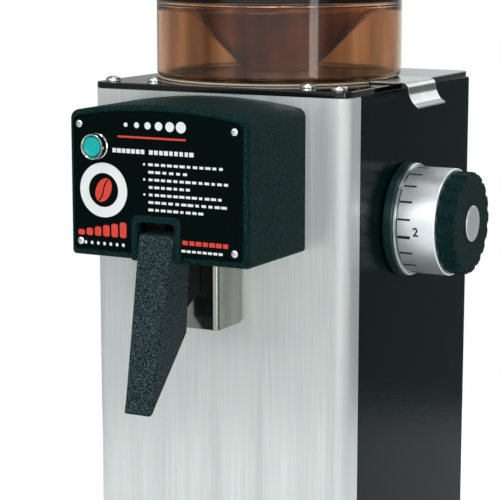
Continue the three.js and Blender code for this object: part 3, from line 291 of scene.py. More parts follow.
def finished_mesh(piece):
    """The mesh of an object after its modifiers. The object is removed."""
    graph = bpy.context.evaluated_depsgraph_get()
    mesh = bpy.data.meshes.new_from_object(piece.evaluated_get(graph))
    drop_object(piece)
    return mesh


def mesh_shape(mesh):
    """The shape of a mesh, without the hair-thin faces that a cut or a rounded edge can leave."""
    shape = bmesh.new()
    shape.from_mesh(mesh)
    bpy.data.meshes.remove(mesh)
    bmesh.ops.dissolve_degenerate(shape, edges=shape.edges, dist=sliver)
    return shape


def combined(shape, tools, operation):
    piece = as_object(shape)
    helpers = [as_object(tool) for tool in tools]
    for helper in helpers:
        add_step(piece, "BOOLEAN", operation=operation, solver="EXACT", object=helper)
    shape = mesh_shape(finished_mesh(piece))
    for helper in helpers:
        drop_object(helper)
    return shape


def cut(shape, tools):
    return combined(shape, tools, "DIFFERENCE")


def joined(shape, others):
    return combined(shape, others, "UNION")


def gathered(shapes):
    """Separate closed shapes in one piece, such as the marks of the print."""
    whole = bmesh.new()
    for shape in shapes:
        mesh = as_mesh(shape)
        whole.from_mesh(mesh)
        bpy.data.meshes.remove(mesh)
    return whole


def softened(shape, width, angle=soft_angle):
    """Rounds the sharp edges that a cut has left."""
    piece = as_object(shape)
    limit = math.radians(angle)
    add_step(piece, "BEVEL", width=width, segments=2, limit_method="ANGLE", angle_limit=limit)
    return mesh_shape(finished_mesh(piece))


# %% [markdown]
# ## Tools for node trees
# Shader trees and Geometry Nodes trees are built the same way: add a node, and give each input
# either a plain value or another node's output. One small function does both.

# %% Adding a node with its inputs
finishes = {}
ramp_low, ramp_high = 0.3, 0.7


def add(group, kind, inputs=None, **settings):
    node = group.nodes.new(kind)
    for key, value in settings.items():
        setattr(node, key, value)
    for key, value in (inputs or {}).items():
        if isinstance(value, bpy.types.NodeSocket):
            group.links.new(value, node.inputs[key])
        else:
            node.inputs[key].default_value = value
    return node


def calc(group, operation, first, second=0.0):
    return add(group, "ShaderNodeMath", {0: first, 1: second}, operation=operation).outputs[0]


def new_finish(name, surface_inputs):
    """A material with one Principled surface, and the object's coordinates for its patterns."""
    material = bpy.data.materials.new(name)
    material.use_nodes = True
    finishes[name] = material
    group = material.node_tree
    group.nodes.clear()
    surface = add(group, "ShaderNodeBsdfPrincipled", surface_inputs)
    add(group, "ShaderNodeOutputMaterial", {"Surface": surface.outputs[0]})
    return group, surface, add(group, "ShaderNodeTexCoord").outputs["Object"]


def grain(group, place, scale, stretch=(1, 1, 1), detail=2.0, roughness=0.5):
    """A cloudy pattern; stretch lengthens it along an axis where its number is small."""
    spread = add(group, "ShaderNodeMapping", {"Vector": place, "Scale": stretch})
    inputs = {"Vector": spread.outputs[0], "Scale": scale, "Detail": detail, "Roughness": roughness}
    return add(group, "ShaderNodeTexNoise", inputs).outputs[0]


def ramp(group, value, low, high, low_at=ramp_low, high_at=ramp_high, **settings):
    """Turns a pattern into a number between two limits."""
    inputs = {"Value": value, "From Min": low_at, "From Max": high_at, "To Min": low, "To Max": high}
    return add(group, "ShaderNodeMapRange", inputs, **settings).outputs[0]


def paint(group, surface, value, dark, light, low_at=ramp_low, high_at=ramp_high):
    """Colours the surface from dark to light by a pattern."""
    share = ramp(group, value, 0.0, 1.0, low_at, high_at)
    blend = add(group, "ShaderNodeMix", {0: share, 6: (*dark, 1), 7: (*light, 1)}, data_type="RGBA")
    group.links.new(blend.outputs[2], surface.inputs["Base Color"])


def relief(group, surface, height, depth):
    """Raises the surface by a pattern, to a depth in metres."""
    bump = add(group, "ShaderNodeBump", {"Height": height, "Distance": depth, "Strength": 1.0})
    group.links.new(bump.outputs[0], surface.inputs["Normal"])


# %% Growing geometry with nodes
def new_tree(name, **sockets):
    """A Geometry Nodes tree with a geometry going in and out, and its inputs listed by their type."""
    tree = bpy.data.node_groups.new(name, "GeometryNodeTree")
    tree.interface.new_socket("Geometry", in_out="INPUT", socket_type="NodeSocketGeometry")
    for kind, labels in sockets.items():
        for label in labels.split(", "):
            tree.interface.new_socket(label, in_out="INPUT", socket_type="NodeSocket" + kind)
    tree.interface.new_socket("Geometry", in_out="OUTPUT", socket_type="NodeSocketGeometry")
    return tree, add(tree, "NodeGroupInput").outputs


def end_tree(tree, source, inputs):
    """Sets an instance on every point, makes real geometry of them, and gives it its material."""
    copies = add(tree, "GeometryNodeInstanceOnPoints", inputs)
    real = add(tree, "GeometryNodeRealizeInstances", {0: copies.outputs[0]})
    inputs = {"Geometry": real.outputs[0], "Material": source["Finish"]}
    dressed = add(tree, "GeometryNodeSetMaterial", inputs)
    add(tree, "NodeGroupOutput", {0: dressed.outputs[0]})


def grown(tree, points, values):
    """The mesh that a tree grows from a list of points."""
    seeds = bmesh.new()
    for point in points:
        seeds.verts.new(point)
    piece = as_object(seeds)
    step = add_step(piece, "NODES", node_group=tree)
    for item in tree.interface.items_tree:
        if item.item_type == "SOCKET" and item.in_out == "INPUT" and item.name in values:
            step[item.identifier] = values[item.name]
    return finished_mesh(piece)


# %% [markdown]
# One tree sets a copy of a master piece on every point, each turned by a random angle up to a given
# turn. It serves the screws, whose slots never line up on a real machine, and the feet and the louvres,
# which are given no turn.

# %% The tree that repeats a master piece
copy_tree, source = new_tree(
    "repeat_a_piece", Object="Master", Material="Finish", Vector="Axis", Float="Turn", Int="Seed"
)
inputs = {3: source["Turn"], "Seed": source["Seed"]}
chance = add(copy_tree, "FunctionNodeRandomValue", inputs, data_type="FLOAT")
inputs = {"Axis": source["Axis"], "Angle": chance.outputs[1]}
turn = add(copy_tree, "FunctionNodeAxisAngleToRotation", inputs).outputs[0]
master = add(copy_tree, "GeometryNodeObjectInfo", {"Object": source["Master"]}).outputs["Geometry"]
end_tree(copy_tree, source, {"Points": source["Geometry"], "Instance": master, "Rotation": turn})


def repeated(shape, points, finish, axis=(0, 0, 1), turn=0.0, seed=1):
    master = as_object(shape)
    values = {"Master": master, "Finish": finishes[finish], "Axis": axis, "Turn": turn, "Seed": seed}
    mesh = grown(copy_tree, points, values)
    drop_object(master)
    print(f"repeated on {len(points)} points: {len(mesh.polygons)} faces")
    return mesh


def numbered(name, count=4):
    return [f"{name}_{i + 1}" for i in range(count)]


# %% [markdown]
# ## Settling
# A piece gets its finish, rides on a body, and hides the frame's nodes that it stands for.

# %% Settling a shape or a grown mesh as a piece of the machine
sharp_angle = 35


def settle(name, source, finish, body="root", slot=None, replaces=(), sharp=sharp_angle):
    """A large flat face keeps its even tone beside a narrow rounded edge: normals follow face area."""
    if isinstance(source, bpy.types.Mesh):
        mesh = source
        mesh.transform(to_part)
    else:
        bmesh.ops.remove_doubles(source, verts=source.verts, dist=weld)
        source.transform(to_part)
        mesh = as_mesh(source, name)
        mesh.materials.append(finishes[finish])
    mesh.polygons.foreach_set("use_smooth", [True] * len(mesh.polygons))
    mesh.set_sharp_from_angle(angle=math.radians(sharp))
    draft = linked("draft", mesh)
    add_step(draft, "WEIGHTED_NORMAL", keep_sharp=True)
    mesh = finished_mesh(draft)
    mesh.name = name
    piece = linked(name, mesh)
    slot = slot or finish
    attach(piece, body)
    if replaces:
        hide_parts(*replaces)
    size = [round(value / mm, 1) for value in piece.dimensions]
    print(f"{name}: {len(mesh.polygons)} faces, {size} mm, rides on {body}")
    return piece


# %% [markdown]
# ## Finishes
# Nothing on the machine is one flat colour. The steel is drawn in one direction, the black castings
# and mouldings are pebbled, the hopper is smoky brown plastic, and the bright parts have fine
# turning or rubbing marks. Each finish builds its pattern from the piece's own coordinates, in
# metres, so a scale of 1000 gives features about a millimetre across. Each row of a table gives a
# finish's dark and light tone first, and then the numbers that its function names.

# %% Steel finishes
line_share = 0.012
band_factor, patch_factor = 12, 15
band_low, band_high, rubbed_low, rubbed_high = 0.85, 1.2, 0.8, 1.3


def brushed(name, dark, light, run, roughness, metallic=1.0, scale=1300.0, depth=1e-5, spread=0.5):
    """Metal with fine lines along an axis, in soft bands. Its highlights spread across the lines."""
    stretch = tuple(line_share if part else 1.0 for part in run)
    group, surface, place = new_finish(name, {"Metallic": metallic, "Anisotropic": spread})
    facing = add(group, "ShaderNodeNewGeometry").outputs["Normal"]
    across = add(group, "ShaderNodeVectorMath", {0: facing, 1: run}, operation="CROSS_PRODUCT")
    group.links.new(across.outputs[0], surface.inputs["Tangent"])
    lines = grain(group, place, scale, stretch, detail=4.0, roughness=0.65)
    paint(group, surface, lines, dark, light)
    bands = grain(group, place, scale / band_factor, stretch, detail=1.0)
    rough = ramp(group, bands, roughness * band_low, roughness * band_high)
    group.links.new(rough, surface.inputs["Roughness"])
    relief(group, surface, lines, depth)


def worked_metal(name, dark, light, roughness, scale=900.0, depth=1e-5):
    """Metal with a fine even grain, rubbed a little brighter and duller in patches."""
    group, surface, place = new_finish(name, {"Metallic": 1.0})
    fine = grain(group, place, scale, detail=3.0)
    patches = grain(group, place, scale / patch_factor, detail=2.0)
    paint(group, surface, patches, dark, light)
    rough = ramp(group, fine, roughness * rubbed_low, roughness * rubbed_high)
    group.links.new(rough, surface.inputs["Roughness"])
    relief(group, surface, fine, depth)


brushed_rows = {
    "brushed_panel": ((0.70, 0.74, 0.73), (0.85, 0.88, 0.86), (0, 0, 1), 0.42, 0.9, 1300.0, 1e-5, 0.95),
    "tray_steel": ((0.42, 0.44, 0.44), (0.55, 0.57, 0.57), (1, 0, 0), 0.35),
    "dial_silver": ((0.84, 0.89, 0.91), (0.91, 0.95, 0.97), (1, 0, 0), 0.34, 0.8, 500.0),
}
metal_rows = {
    "chrome": ((0.58, 0.61, 0.58), (0.66, 0.69, 0.66), 0.09, 600.0, 2e-6),
    "shutter_steel": ((0.34, 0.37, 0.36), (0.43, 0.46, 0.45), 0.13, 600.0, 2e-6),
    # The spout's chrome is darkened to about half: painted shade, for the dimmer surroundings that it
    # mirrors.
    "spout_chrome": ((0.30, 0.315, 0.28), (0.35, 0.365, 0.325), 0.1, 600.0, 2e-6),
    # The dial ring's steel is darkened teal-grey: painted shade, for the dark surroundings that it
    # mirrors.
    "ring_steel": ((0.40, 0.46, 0.46), (0.52, 0.58, 0.58), 0.2),
    "screw_steel": ((0.55, 0.58, 0.57), (0.74, 0.76, 0.75), 0.2),
    "spring_steel": ((0.30, 0.31, 0.32), (0.45, 0.46, 0.47), 0.3),
    "shaft_steel": ((0.36, 0.37, 0.38), (0.52, 0.53, 0.54), 0.28),
    "burr_steel": ((0.28, 0.29, 0.31), (0.42, 0.43, 0.45), 0.35),
    "motor_iron": ((0.10, 0.10, 0.11), (0.20, 0.19, 0.19), 0.5),
    "cast_aluminium": ((0.40, 0.41, 0.42), (0.55, 0.56, 0.57), 0.5, 700.0, 6e-5),
    "capacitor_shell": ((0.45, 0.46, 0.47), (0.55, 0.56, 0.57), 0.35),
}
for name, row in brushed_rows.items():
    brushed(name, *row)
for name, row in metal_rows.items():
    worked_metal(name, *row)
print("metals:", list(finishes))

# %% Painted, moulded and printed finishes
speckle_low, speckle_high = 0.52, 0.62


def pebbled(name, dark, light, roughness, gloss, scale, depth):
    """A moulded or painted skin of small rounded bumps; gloss is the specular level."""
    group, surface, place = new_finish(name, {"Roughness": roughness, "Specular IOR Level": gloss})
    inputs = {"Vector": place, "Scale": scale, "Smoothness": 1.0}
    bumps = add(group, "ShaderNodeTexVoronoi", inputs, feature="SMOOTH_F1").outputs["Distance"]
    speckle = grain(group, place, scale * 2.0, detail=1.0)
    paint(group, surface, speckle, dark, light, speckle_low, speckle_high)
    relief(group, surface, calc(group, "ADD", bumps, speckle), depth)


# The light tone of textured_black and lever_black is partly the skin's own grain and partly painted
# glints: light speckles in the colour stand for the sparkle off the pebbled skin.
pebbled_rows = {
    "hammer_paint": ((0.0002, 0.005, 0.005), (0.001, 0.018, 0.018), 0.06, 0.045, 700.0, 7e-5),
    "textured_black": ((0.0004, 0.008, 0.008), (0.012, 0.056, 0.056), 0.48, 0.05, 700.0, 6e-4),
    "lever_black": ((0.0005, 0.006, 0.008), (0.09, 0.135, 0.145), 0.46, 0.07, 750.0, 5e-4),
    # The dial flange's black is a little lighter than the label's: partly its real satin gloss, partly
    # painted sheen in the colour.
    "satin_black": ((0.002, 0.020, 0.020), (0.004, 0.030, 0.030), 0.3, 0.5, 1500.0, 1e-5),
    "sheet_paint": ((0.004, 0.008, 0.008), (0.010, 0.016, 0.016), 0.32, 0.45, 700.0, 3e-5),
    "gloss_plate": ((0.0005, 0.001, 0.001), (0.001, 0.002, 0.002), 0.06, 0.5, 60.0, 1e-5),
    "label_black": ((0.0005, 0.003, 0.003), (0.001, 0.006, 0.006), 0.3, 0.03, 2500.0, 2e-5),
    "black_nylon": ((0.004, 0.006, 0.006), (0.010, 0.012, 0.012), 0.5, 0.2, 1500.0, 3e-5),
    "rubber": ((0.006, 0.007, 0.007), (0.014, 0.015, 0.014), 0.75, 0.15, 800.0, 6e-5),
    "green_cap": ((0.005, 0.41, 0.395), (0.007, 0.47, 0.45), 0.25, 0.3, 500.0, 1e-5),
    "cream_seal": ((0.60, 0.54, 0.40), (0.72, 0.66, 0.52), 0.55, 0.35, 700.0, 4e-5),
    "print_white": ((0.78, 0.80, 0.79), (0.86, 0.88, 0.87), 0.5, 0.3, 2000.0, 1e-5),
    "print_red": ((0.66, 0.045, 0.03), (0.78, 0.07, 0.05), 0.5, 0.3, 2000.0, 1e-5),
    "print_black": ((0.004, 0.006, 0.006), (0.008, 0.010, 0.010), 0.4, 0.3, 2000.0, 1e-5),
}
for name, row in pebbled_rows.items():
    pebbled(name, *row)

# %% [markdown]
# The hopper is clear moulded plastic with a brown tint. Its upright streaks, lighter and darker, are
# painted reflections of what the curved wall mirrors.

# %% The smoky hopper plastic
inputs = {"Roughness": 0.06, "IOR": 1.45, "Transmission Weight": 1.0, "Specular IOR Level": 0.25}
group, surface, place = new_finish("tinted_clear", inputs)
# Painted reflection: the tint is lightened and darkened in upright bands.
painted_reflection_bands = grain(group, place, 45.0, (1, 1, 0.1), detail=3.0)
paint(group, surface, painted_reflection_bands, (0.26, 0.14, 0.075), (0.74, 0.49, 0.31))
relief(group, surface, painted_reflection_bands, 3e-5)
print("finishes:", len(finishes))

# %% [markdown]
# ## Base, feet and bag tray
# The machine stands on a shallow cast base that reaches forward under the spout, so that a bag
# stands on it while it fills. Four rubber feet are screwed in from below. A loose steel tray sits
# in a recess and catches what is spilt. The casting is one rounded box, hollowed from beneath.

# %% The base
base_low, base_high = (-112, -125, 12.3), (112, 249.8, 40)
base_corner, wall, ceiling = 22, 6, 31
post_radius, post_top, bore_radius, bore_top = 12, 34, 4.3, 24.3
feet_at = [(-80, -93, 0), (80, -93, 0), (-80, 217.8, 0), (80, 217.8, 0)]

inner_high = (base_high[0] - wall, base_high[1] - wall, ceiling)
inner = block(offset(base_low, wall, wall, -wall), inner_high, "z", base_corner - wall)
shape = cut(block(base_low, base_high, "z", base_corner, 2, 3), [inner])
posts = [rod(post_radius, base_low[2], post_top, "z", point, 0.5) for point in feet_at]
shape = joined(shape, posts)
recess = block((-87, -131, 37), (87, -4, 45), "z", 6)
holes = [rod(bore_radius, 0, bore_top, "z", point) for point in feet_at]
shape = softened(cut(shape, [recess] + holes), 0.5)
settle("base", shape, "hammer_paint", replaces=["base_casting"])

# %% The feet
profile = [(0, 0), (17, 0), (17, 4), (15.6, 5), (15.6, 6.2), (16, 7), (14, 12), (0, 12)]
foot = turned(rounded(profile, [0, 2, 0.4, 0.4, 0.4, 0.4, 0.8, 0], 4), "z", steps=48)
foot = joined(foot, [rod(4, 11, 23, "z", edge=0.8, steps=32)])
settle("feet", repeated(foot, feet_at, "rubber"), "rubber", replaces=numbered("foot"))

# %% The bag tray
tray_sheet, tray_corner = 1.2, 6
low, high = (-86, -122, 37.3), (86, -5, 46.3)
inner_low = offset(low, tray_sheet, tray_sheet, tray_sheet)
inner_high = offset(high, -tray_sheet, -tray_sheet, wall)
inner = block(inner_low, inner_high, "z", tray_corner - tray_sheet, 1)
shape = cut(block(low, high, "z", tray_corner, 1.2), [inner])
notch = block((-25, low[1] - 2, 41.3), (25, low[1] + 4, high[2] + 6), "y", 3)
settle("tray", softened(cut(shape, [notch]), 0.3), "tray_steel", "tray", replaces=["bag_tray"])

# %% [markdown]
# ## Body: casting, front panel and rear cover
# The body is a cast box, open at the back and painted with black hammer finish. A sheet of brushed
# stainless steel covers its front and wraps round both front corners, and a flat rear cover with
# pressed louvres closes it. The sheet and the casting are drawn as plans and pushed up.

# %% The body casting and the panel
body_low, body_high = 40.3, 499.7
half = 110
axis_y, axis_z = 107.8, 397.1
sheet = 1.5


def window(front, rear):
    """The opening that the ground coffee comes through."""
    return block((-12.6, front, 388.4), (12.6, rear, 413.6), "y", 2)


plan = [
    (half, 248), (half, 24.9), (108.2, 24.9), (108.2, 1.8), (-108.2, 1.8), (-108.2, 24.9),
    (-half, 24.9), (-half, 248), (-104, 248), (-104, 7.8), (104, 7.8), (104, 248),
]
plan = rounded(plan, [0.8, 1.2, 0, 8.2, 8.2, 0, 1.2, 0.8, 0.8, 2, 2, 0.8], 8)
neck = rod(26.3, 100, 115, "x", (0, axis_y, axis_z), steps=96)
shape = cut(pushed(plan, "z", body_low, body_high), [neck, window(-5, 12)])
settle("casting", softened(shape, 0.6), "hammer_paint", replaces=["body_casting"])

plan = [
    (-half, 24.6), (-half, 0), (half, 0), (half, 24.6),
    (half - sheet, 24.6), (half - sheet, sheet), (sheet - half, sheet), (sheet - half, 24.6),
]
plan = rounded(plan, [0.3, 10, 10, 0.3, 0.3, 8.5, 8.5, 0.3], 12)
shape = cut(pushed(plan, "z", body_low, body_high), [window(-5, 12)])
settle("panel", shape, "brushed_panel", replaces=["front_panel"])

# %% The rear cover with its louvres
rows, columns = 9, (-48, 48)
louvre_low, louvre_pitch = 279.19, 14
slot_half_width, slot_half_height = 32, 2.5
louvre_places = [(x, 0, louvre_low + louvre_pitch * row) for x in columns for row in range(rows)]

tools = []
for x, _, z in louvre_places:
    low = (x - slot_half_width, 240, z - slot_half_height)
    high = (x + slot_half_width, 260, z + slot_half_height)
    tools.append(block(low, high, "y", 2, steps=3))
tools.append(rod(8.3, 240, 260, "y", (-70, 0, 90), steps=48))
shape = block((-109.7, 248.3, body_low), (109.7, 249.8, body_high), "y", 2, 0, 0.5)
shape = cut(shape, tools)
settle("rear_cover_plate", shape, "sheet_paint", slot="hammer_paint", replaces=["rear_cover"])

# %% [markdown]
# A pressed louvre is a quarter-round lip over its slot, open below and closed at both ends.

# %% The louvres
outline = [(249.9, -2.6)] + [(249.9 + 4 * math.cos(a), -2.6 + 7 * math.sin(a)) for a in arc(6)]
hollow = [(249.0, -4), (252.9, -4), (252.6, -1), (251.4, 1.6), (249.0, 2.4)]
hood = cut(pushed(outline, "x", -34, 34), [pushed(hollow, "x", -32.6, 32.6)])
settle("louvre_hoods", repeated(hood, louvre_places, "sheet_paint"), "sheet_paint", slot="hammer_paint")

# %% [markdown]
# ## Top plate and its screws
# A glossy black plate, five millimetres thick, closes the body. Its edge is finely rounded, so it
# draws a thin line of light round the top of the machine. Pan-head screws hold it down. Each head
# is a turned dome with a cross cut in it, and one tree sets them all at their own angles.

# %% The top plate
head_level = 505.1
plate_screws = [(x, y, head_level) for x, y in ((-98, 12), (-67, 23), (67, 23), (98, 12))]

tools = [rod(27, 490, 510, "z", (0, axis_y, 0), steps=96)]
tools += [rod(3.3, 490, 510, "z", (x, y, 0), steps=24) for x, y, _ in plate_screws]
shape = cut(block((-half, 0, 500), (half, 249.8, 504.8), "z", 10, 0.5, 0.9), tools)
settle("plate", shape, "gloss_plate", replaces=["top_plate"])


# %% The screws
def pan_head(radius, height, edge, cross, width, depth, shank, length, steps=40):
    """A screw standing on the origin: its head up, its shank down, and a cross cut in its dome."""
    rise = height - edge
    dome = [(radius * math.cos(a), edge + rise * math.sin(a)) for a in arc(6)]
    shape = turned([(0, 0), (radius, 0)] + dome[:-1] + [(0, height)], "z", steps=steps)
    arms = []
    for x, y in ((cross / 2, width / 2), (width / 2, cross / 2)):
        arms.append(block((-x, -y, height - depth), (x, y, height + 1), "z", 0.2, steps=2))
    shape = joined(cut(shape, arms), [rod(shank, -length, 0.1, "z", edge=0.6, steps=24)])
    return softened(shape, 0.15, 40)


heads = pan_head(6, 3.9, 1.3, 6.2, 1.3, 1.8, 2.9, 20)
heads = repeated(heads, plate_screws, "screw_steel", (0, 0, 1), quarter_turn, 7)
settle("plate_screws", heads, "screw_steel", replaces=numbered("top_plate_screw"))

# %% [markdown]
# ## Hopper, seal, lid and bean shutter
# The hopper is a wide tube of smoky plastic with a funnel inside it. Its foot is turned in and
# stands on a cream seal. Both are turned. Beans fall through the throat unless the shutter, a
# sheet-metal slide, is pushed in under it. Its end is bent down in an S, to pull it out by.

# %% The hopper, its seal and its lid
shutter_gap = 28.8
hopper_turns = 160
hopper_axis = (0, axis_y, 0)


def shutter_way(reach, low, high):
    """Room for the shutter, on the right of the hopper's axis."""
    return block((0, axis_y - shutter_gap, low), (reach, axis_y + shutter_gap, high), "z")


profile = [
    (98.6, 506.8), (98.6, 721.8), (95.6, 721.8), (95.6, 583.8), (27, 517), (27, 511),
    (30, 511), (30, 514), (95.6, 577.8), (95.6, 509.6), (90.6, 509.6), (90.6, 506.8),
]
soft = rounded(profile, [3.9, 1.4, 1.4, 14, 6, 0.5, 0.5, 4, 8, 1.6, 0.5, 0.5], 6)
shape = cut(turned(soft, "z", hopper_axis, hopper_turns), [shutter_way(105.2, 500, 508)])
settle("bean_hopper", shape, "tinted_clear", replaces=["hopper"], sharp=40)

shape = tube(91, 96.6, 505.1, 506.5, "z", hopper_axis, 0.5, hopper_turns)
settle("seal", cut(shape, [shutter_way(110, 500, 510)]), "cream_seal", replaces=["hopper_seal"])

profile = [
    (0, 722.1), (98.9, 722.1), (98.9, 712.1), (101.3, 712.1), (101.3, 723.9), (98.9, 725.1),
    (36, 730.1), (12, 731.6), (12, 738.1), (18, 744.1), (18, 747.1), (15, 750.1), (0, 750.1),
]
soft = rounded(profile, [0, 0.4, 0.4, 0.6, 2, 2, 20, 4, 4, 3, 2.4, 2, 0], 8)
shape = turned(soft, "z", hopper_axis, hopper_turns)
settle("lid_cover", shape, "label_black", "lid", replaces=["hopper_lid"], sharp=40)

# %% [markdown]
# The shutter is one path of points with sheet metal of even thickness laid along it.

# %% The shutter
thickness, shutter_half = 1.6, 27.8
bend_x, bend_z, bend, bend_share, bend_steps = 119.3, 501.2, 5, 0.8, 8
path = [(-34, 506.2), (40, 506.2)]
for i in range(bend_steps + 1):
    angle = quarter_turn * bend_share * i / bend_steps
    path.append((bend_x + bend * math.sin(angle), bend_z + bend * math.cos(angle)))
path += [(124.5, 500.2), (125.0, 497.8), (125.8, 495.4), (126.9, 493.2)]
path += [(128.4, 491.1), (130.4, 489.3), (133.1, 487.9)]

points = [Vector(point) for point in path]
above, below = [], []
for i, point in enumerate(points):
    run = (points[min(i + 1, len(points) - 1)] - points[max(i - 1, 0)]).normalized()
    normal = Vector((-run.y, run.x)) * thickness / 2
    above.append(tuple(point + normal))
    below.append(tuple(point - normal))
outline = above + below[::-1]
shape = softened(pushed(outline, "y", axis_y - shutter_half, axis_y + shutter_half), 0.35, 60)
settle("bean_shutter", shape, "shutter_steel", "shutter", "chrome", ["shutter_plate"])

# %% [markdown]
# ## Outlet cover
# The cover is a black moulding with a pebbled skin. Seen from the front it is a box with a gently
# arched top, and it widens a little towards the panel. A raised rim frames the slot in which the
# lever moves. It is a stack of outlines, hollowed by a smaller stack.

# %% The cover's outline
cover_front, cover_rear = -88.2, -0.3
cover_half_front, cover_half_rear = 74.4, 76.3
cover_bottom, cover_corner = 384, 7
shoulder, arch_rise, arch_steps, first_step = 491, 7, 24, 13


def cover_outline(half_width, inset=0.0, bottom=cover_bottom, foot=3):
    """The arched outline at one half width, drawn in by an inset."""
    radius = (half_width**2 + arch_rise**2) / (2 * arch_rise)
    middle = shoulder + arch_rise - radius
    side = half_width - inset
    across = [side]
    across += [(side - first_step) * (1 - 2 * i / arch_steps) for i in range(arch_steps + 1)] + [-side]
    arch = [(x, middle + math.sqrt((radius - inset) ** 2 - x * x)) for x in across]
    low = bottom + inset
    round_top = max(cover_corner - inset / 2, 1)
    radii = [foot, foot, round_top] + [0] * (len(arch) - 2) + [round_top]
    return rounded([(-side, low), (side, low)] + arch, radii, 8)


def cover_half(distance):
    share = (distance - cover_front) / (cover_rear - cover_front)
    return cover_half_front + (cover_half_rear - cover_half_front) * share


def doorway(side, bottom, top, foot, corner):
    """An upright outline about the middle, with one radius below and one at its top corners."""
    points = [(-side, bottom), (side, bottom), (side, top), (-side, top)]
    return rounded(points, [foot, foot, corner, corner], 6)


# %% The cover
slot_half, slot_top = 15.45, 412.4
rim_half, rim_top, rim_front = 20.75, 417.7, -91.2
flare, slot_foot = 1.2, 370
button_x, button_z = -49.4, 466.3
label_points = [(-64.5, 482), (64.5, 482), (-64.5, 395.2), (64.5, 395.2)]
pin_y, pin_z = -74, 396


def label_bores(front, rear):
    """Room for the button and the label's screws, from one depth to another."""
    bores = [rod(1.7, front, rear, "y", (x, 0, z), steps=20) for x, z in label_points]
    return [rod(8.5, front, rear, "y", (button_x, 0, button_z))] + bores


def pin_bore():
    return rod(3.1, -30, 30, "x", (0, pin_y, pin_z), steps=32)


def skin(inset, level):
    return cover_outline(cover_half(level), inset)


def rim_outline(inset, _):
    return doorway(rim_half - inset, cover_bottom, rim_top - inset, 1, 5)


def slot_outline(extra, _):
    return doorway(slot_half + extra, slot_foot, slot_top + extra, 0, 3)


mouth_levels = [(flare * (1 - math.sin(a)), rim_front + flare * (1 - math.cos(a))) for a in arc(5)]
hollow = layered(skin, "y", [(3, cover_front + 3), (3, cover_rear + 6)])
mouth = block((-32, -80, 380), (32, 6, 390), "z", 2)
shape = cut(layered(skin, "y", edge_levels(cover_front, cover_rear, 3.5)), [hollow, mouth])
ears = [block((x, -86.7, 388), (x + 5, -66, 406), "x", 2, 0.3, 0.3) for x in (-27, 22)]
shape = joined(shape, [layered(rim_outline, "y", edge_levels(rim_front, -86.7, 1.4))] + ears)
slot = layered(slot_outline, "y", [(flare, -97.2)] + mouth_levels + [(0, -79.7)])
shape = cut(shape, [slot] + label_bores(-92, -80) + [pin_bore()])
settle("cover", shape, "textured_black", replaces=["outlet_cover"], sharp=30)


# %% The label plate and its screws
def label_outline(inset, _):
    return cover_outline(cover_half_front, 4.2 + inset, 384.8, 2)


gap = pushed(doorway(21.05, 370, 418.0, 0, 5.3), "y", -92, -86)
plate = layered(label_outline, "y", edge_levels(-89.5, -88.5, 0.3, 0, 2))
settle("label", cut(plate, [gap] + label_bores(-92, -86)), "label_black", replaces=["label_plate"])

heads = pan_head(2.8, 1.2, 0.4, 3.2, 0.7, 0.6, 1.4, 6, 28)
heads.transform(Matrix.Rotation(quarter_turn, 4, "X"))
small_points = [(x, -89.8, z) for x, z in label_points]
heads = repeated(heads, small_points, "screw_steel", (0, 1, 0), quarter_turn, 3)
settle("label_screws", heads, "screw_steel", replaces=numbered("label_screw"))

# %% [markdown]
# ## Start button
# A green cap slides in a bright turned bezel. Behind it a coil spring, wound of round wire, stands
# against the switch. It is made at its length at rest; on the real machine it gets shorter by as much
# as the cap is pressed in.

# %% The button
button_axis = (button_x, 0, button_z)
profile = [
    (7.3, -96.0), (8.7, -97.8), (9.1, -97.8), (9.3, -97.5), (9.3, -95.2), (8.8, -94.4), (8.8, -91.6),
    (9.6, -90.7), (9.6, -89.8), (8.2, -89.8), (8.2, -76), (7.3, -76),
]
soft = rounded(profile, [0.1, 0.15, 0.15, 0.15, 0.5, 0.5, 0.8, 0.3, 0.1, 0, 0.2, 0.2], 4)
settle("bezel", turned(soft, "y", button_axis, 72), "chrome", replaces=["button_bezel"])

profile = [(0, -97.2), (5.0, -97.2), (5.7, -97.5), (7, -97.5), (7, -84.1), (0, -84.1)]
soft = rounded(profile, [0, 0.3, 0.3, 0.8, 0.4, 0], 4)
shape = turned(soft, "y", button_axis, 72)
settle("button_cap", shape, "green_cap", "button", replaces=["start_button"])

# %% The button's spring
spring_front, spring_rear, button_travel = -83.8, -76.0, 3.5
wire, coil, turns, steps, sides = 0.6, 5, 4, 32, 10

along, side, up = directions["y"]
run = spring_rear - spring_front - 2 * wire
rings = []
for i in range(turns * steps + 1):
    angle = 2 * math.pi * i / steps
    spoke = side * math.cos(angle) + up * math.sin(angle)
    depth = spring_front + wire + run * i / (turns * steps)
    middle = Vector((button_x, depth, button_z)) + spoke * coil
    rings.append([middle + (spoke * math.cos(a) + along * math.sin(a)) * wire for a in circle(sides)])
spring = settle("wire_spring", stacked(rings), "spring_steel", replaces=["button_spring"], sharp=60)

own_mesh(spring)

# %% [markdown]
# ## Spout and bag-clamp lever
# The ground coffee falls through a chromed rectangular tube. The lever hangs in front of it on a
# pin and presses a bag's neck against the tube. It is a stack of outlines that lean forward and
# narrow downwards, with a straight back down to a knee.

# %% The spout
spout_sheet, spout_ceiling = 1.5, 436.5
low, high = (-23.8, -40.7, 325.5), (23.8, -0.3, 438)
inner_low = offset(low, spout_sheet, spout_sheet, -spout_sheet)
inner_high = (high[0] - spout_sheet, high[1] - spout_sheet, spout_ceiling)
inner = block(inner_low, inner_high, "z", 3.5, 0, 0.5)
shape = cut(block(low, high, "z", 5, 0.5, 1), [inner, window(-6, 4)])
settle("outlet_spout", shape, "spout_chrome", slot="chrome", replaces=["spout"])

# %% The lever
lever_top, lever_low, knee, crown = 404, 276.5, 329, 402
front_top, front_low, half_top, half_low = 90.3, 120, 15, 10.8
rear_top, rear_knee, rear_low = 66, 67.5, 116.4
blunt, crown_round, lean = 1.1, 2, 1.5
lever_edge, lever_edge_share = 2.4, 0.33


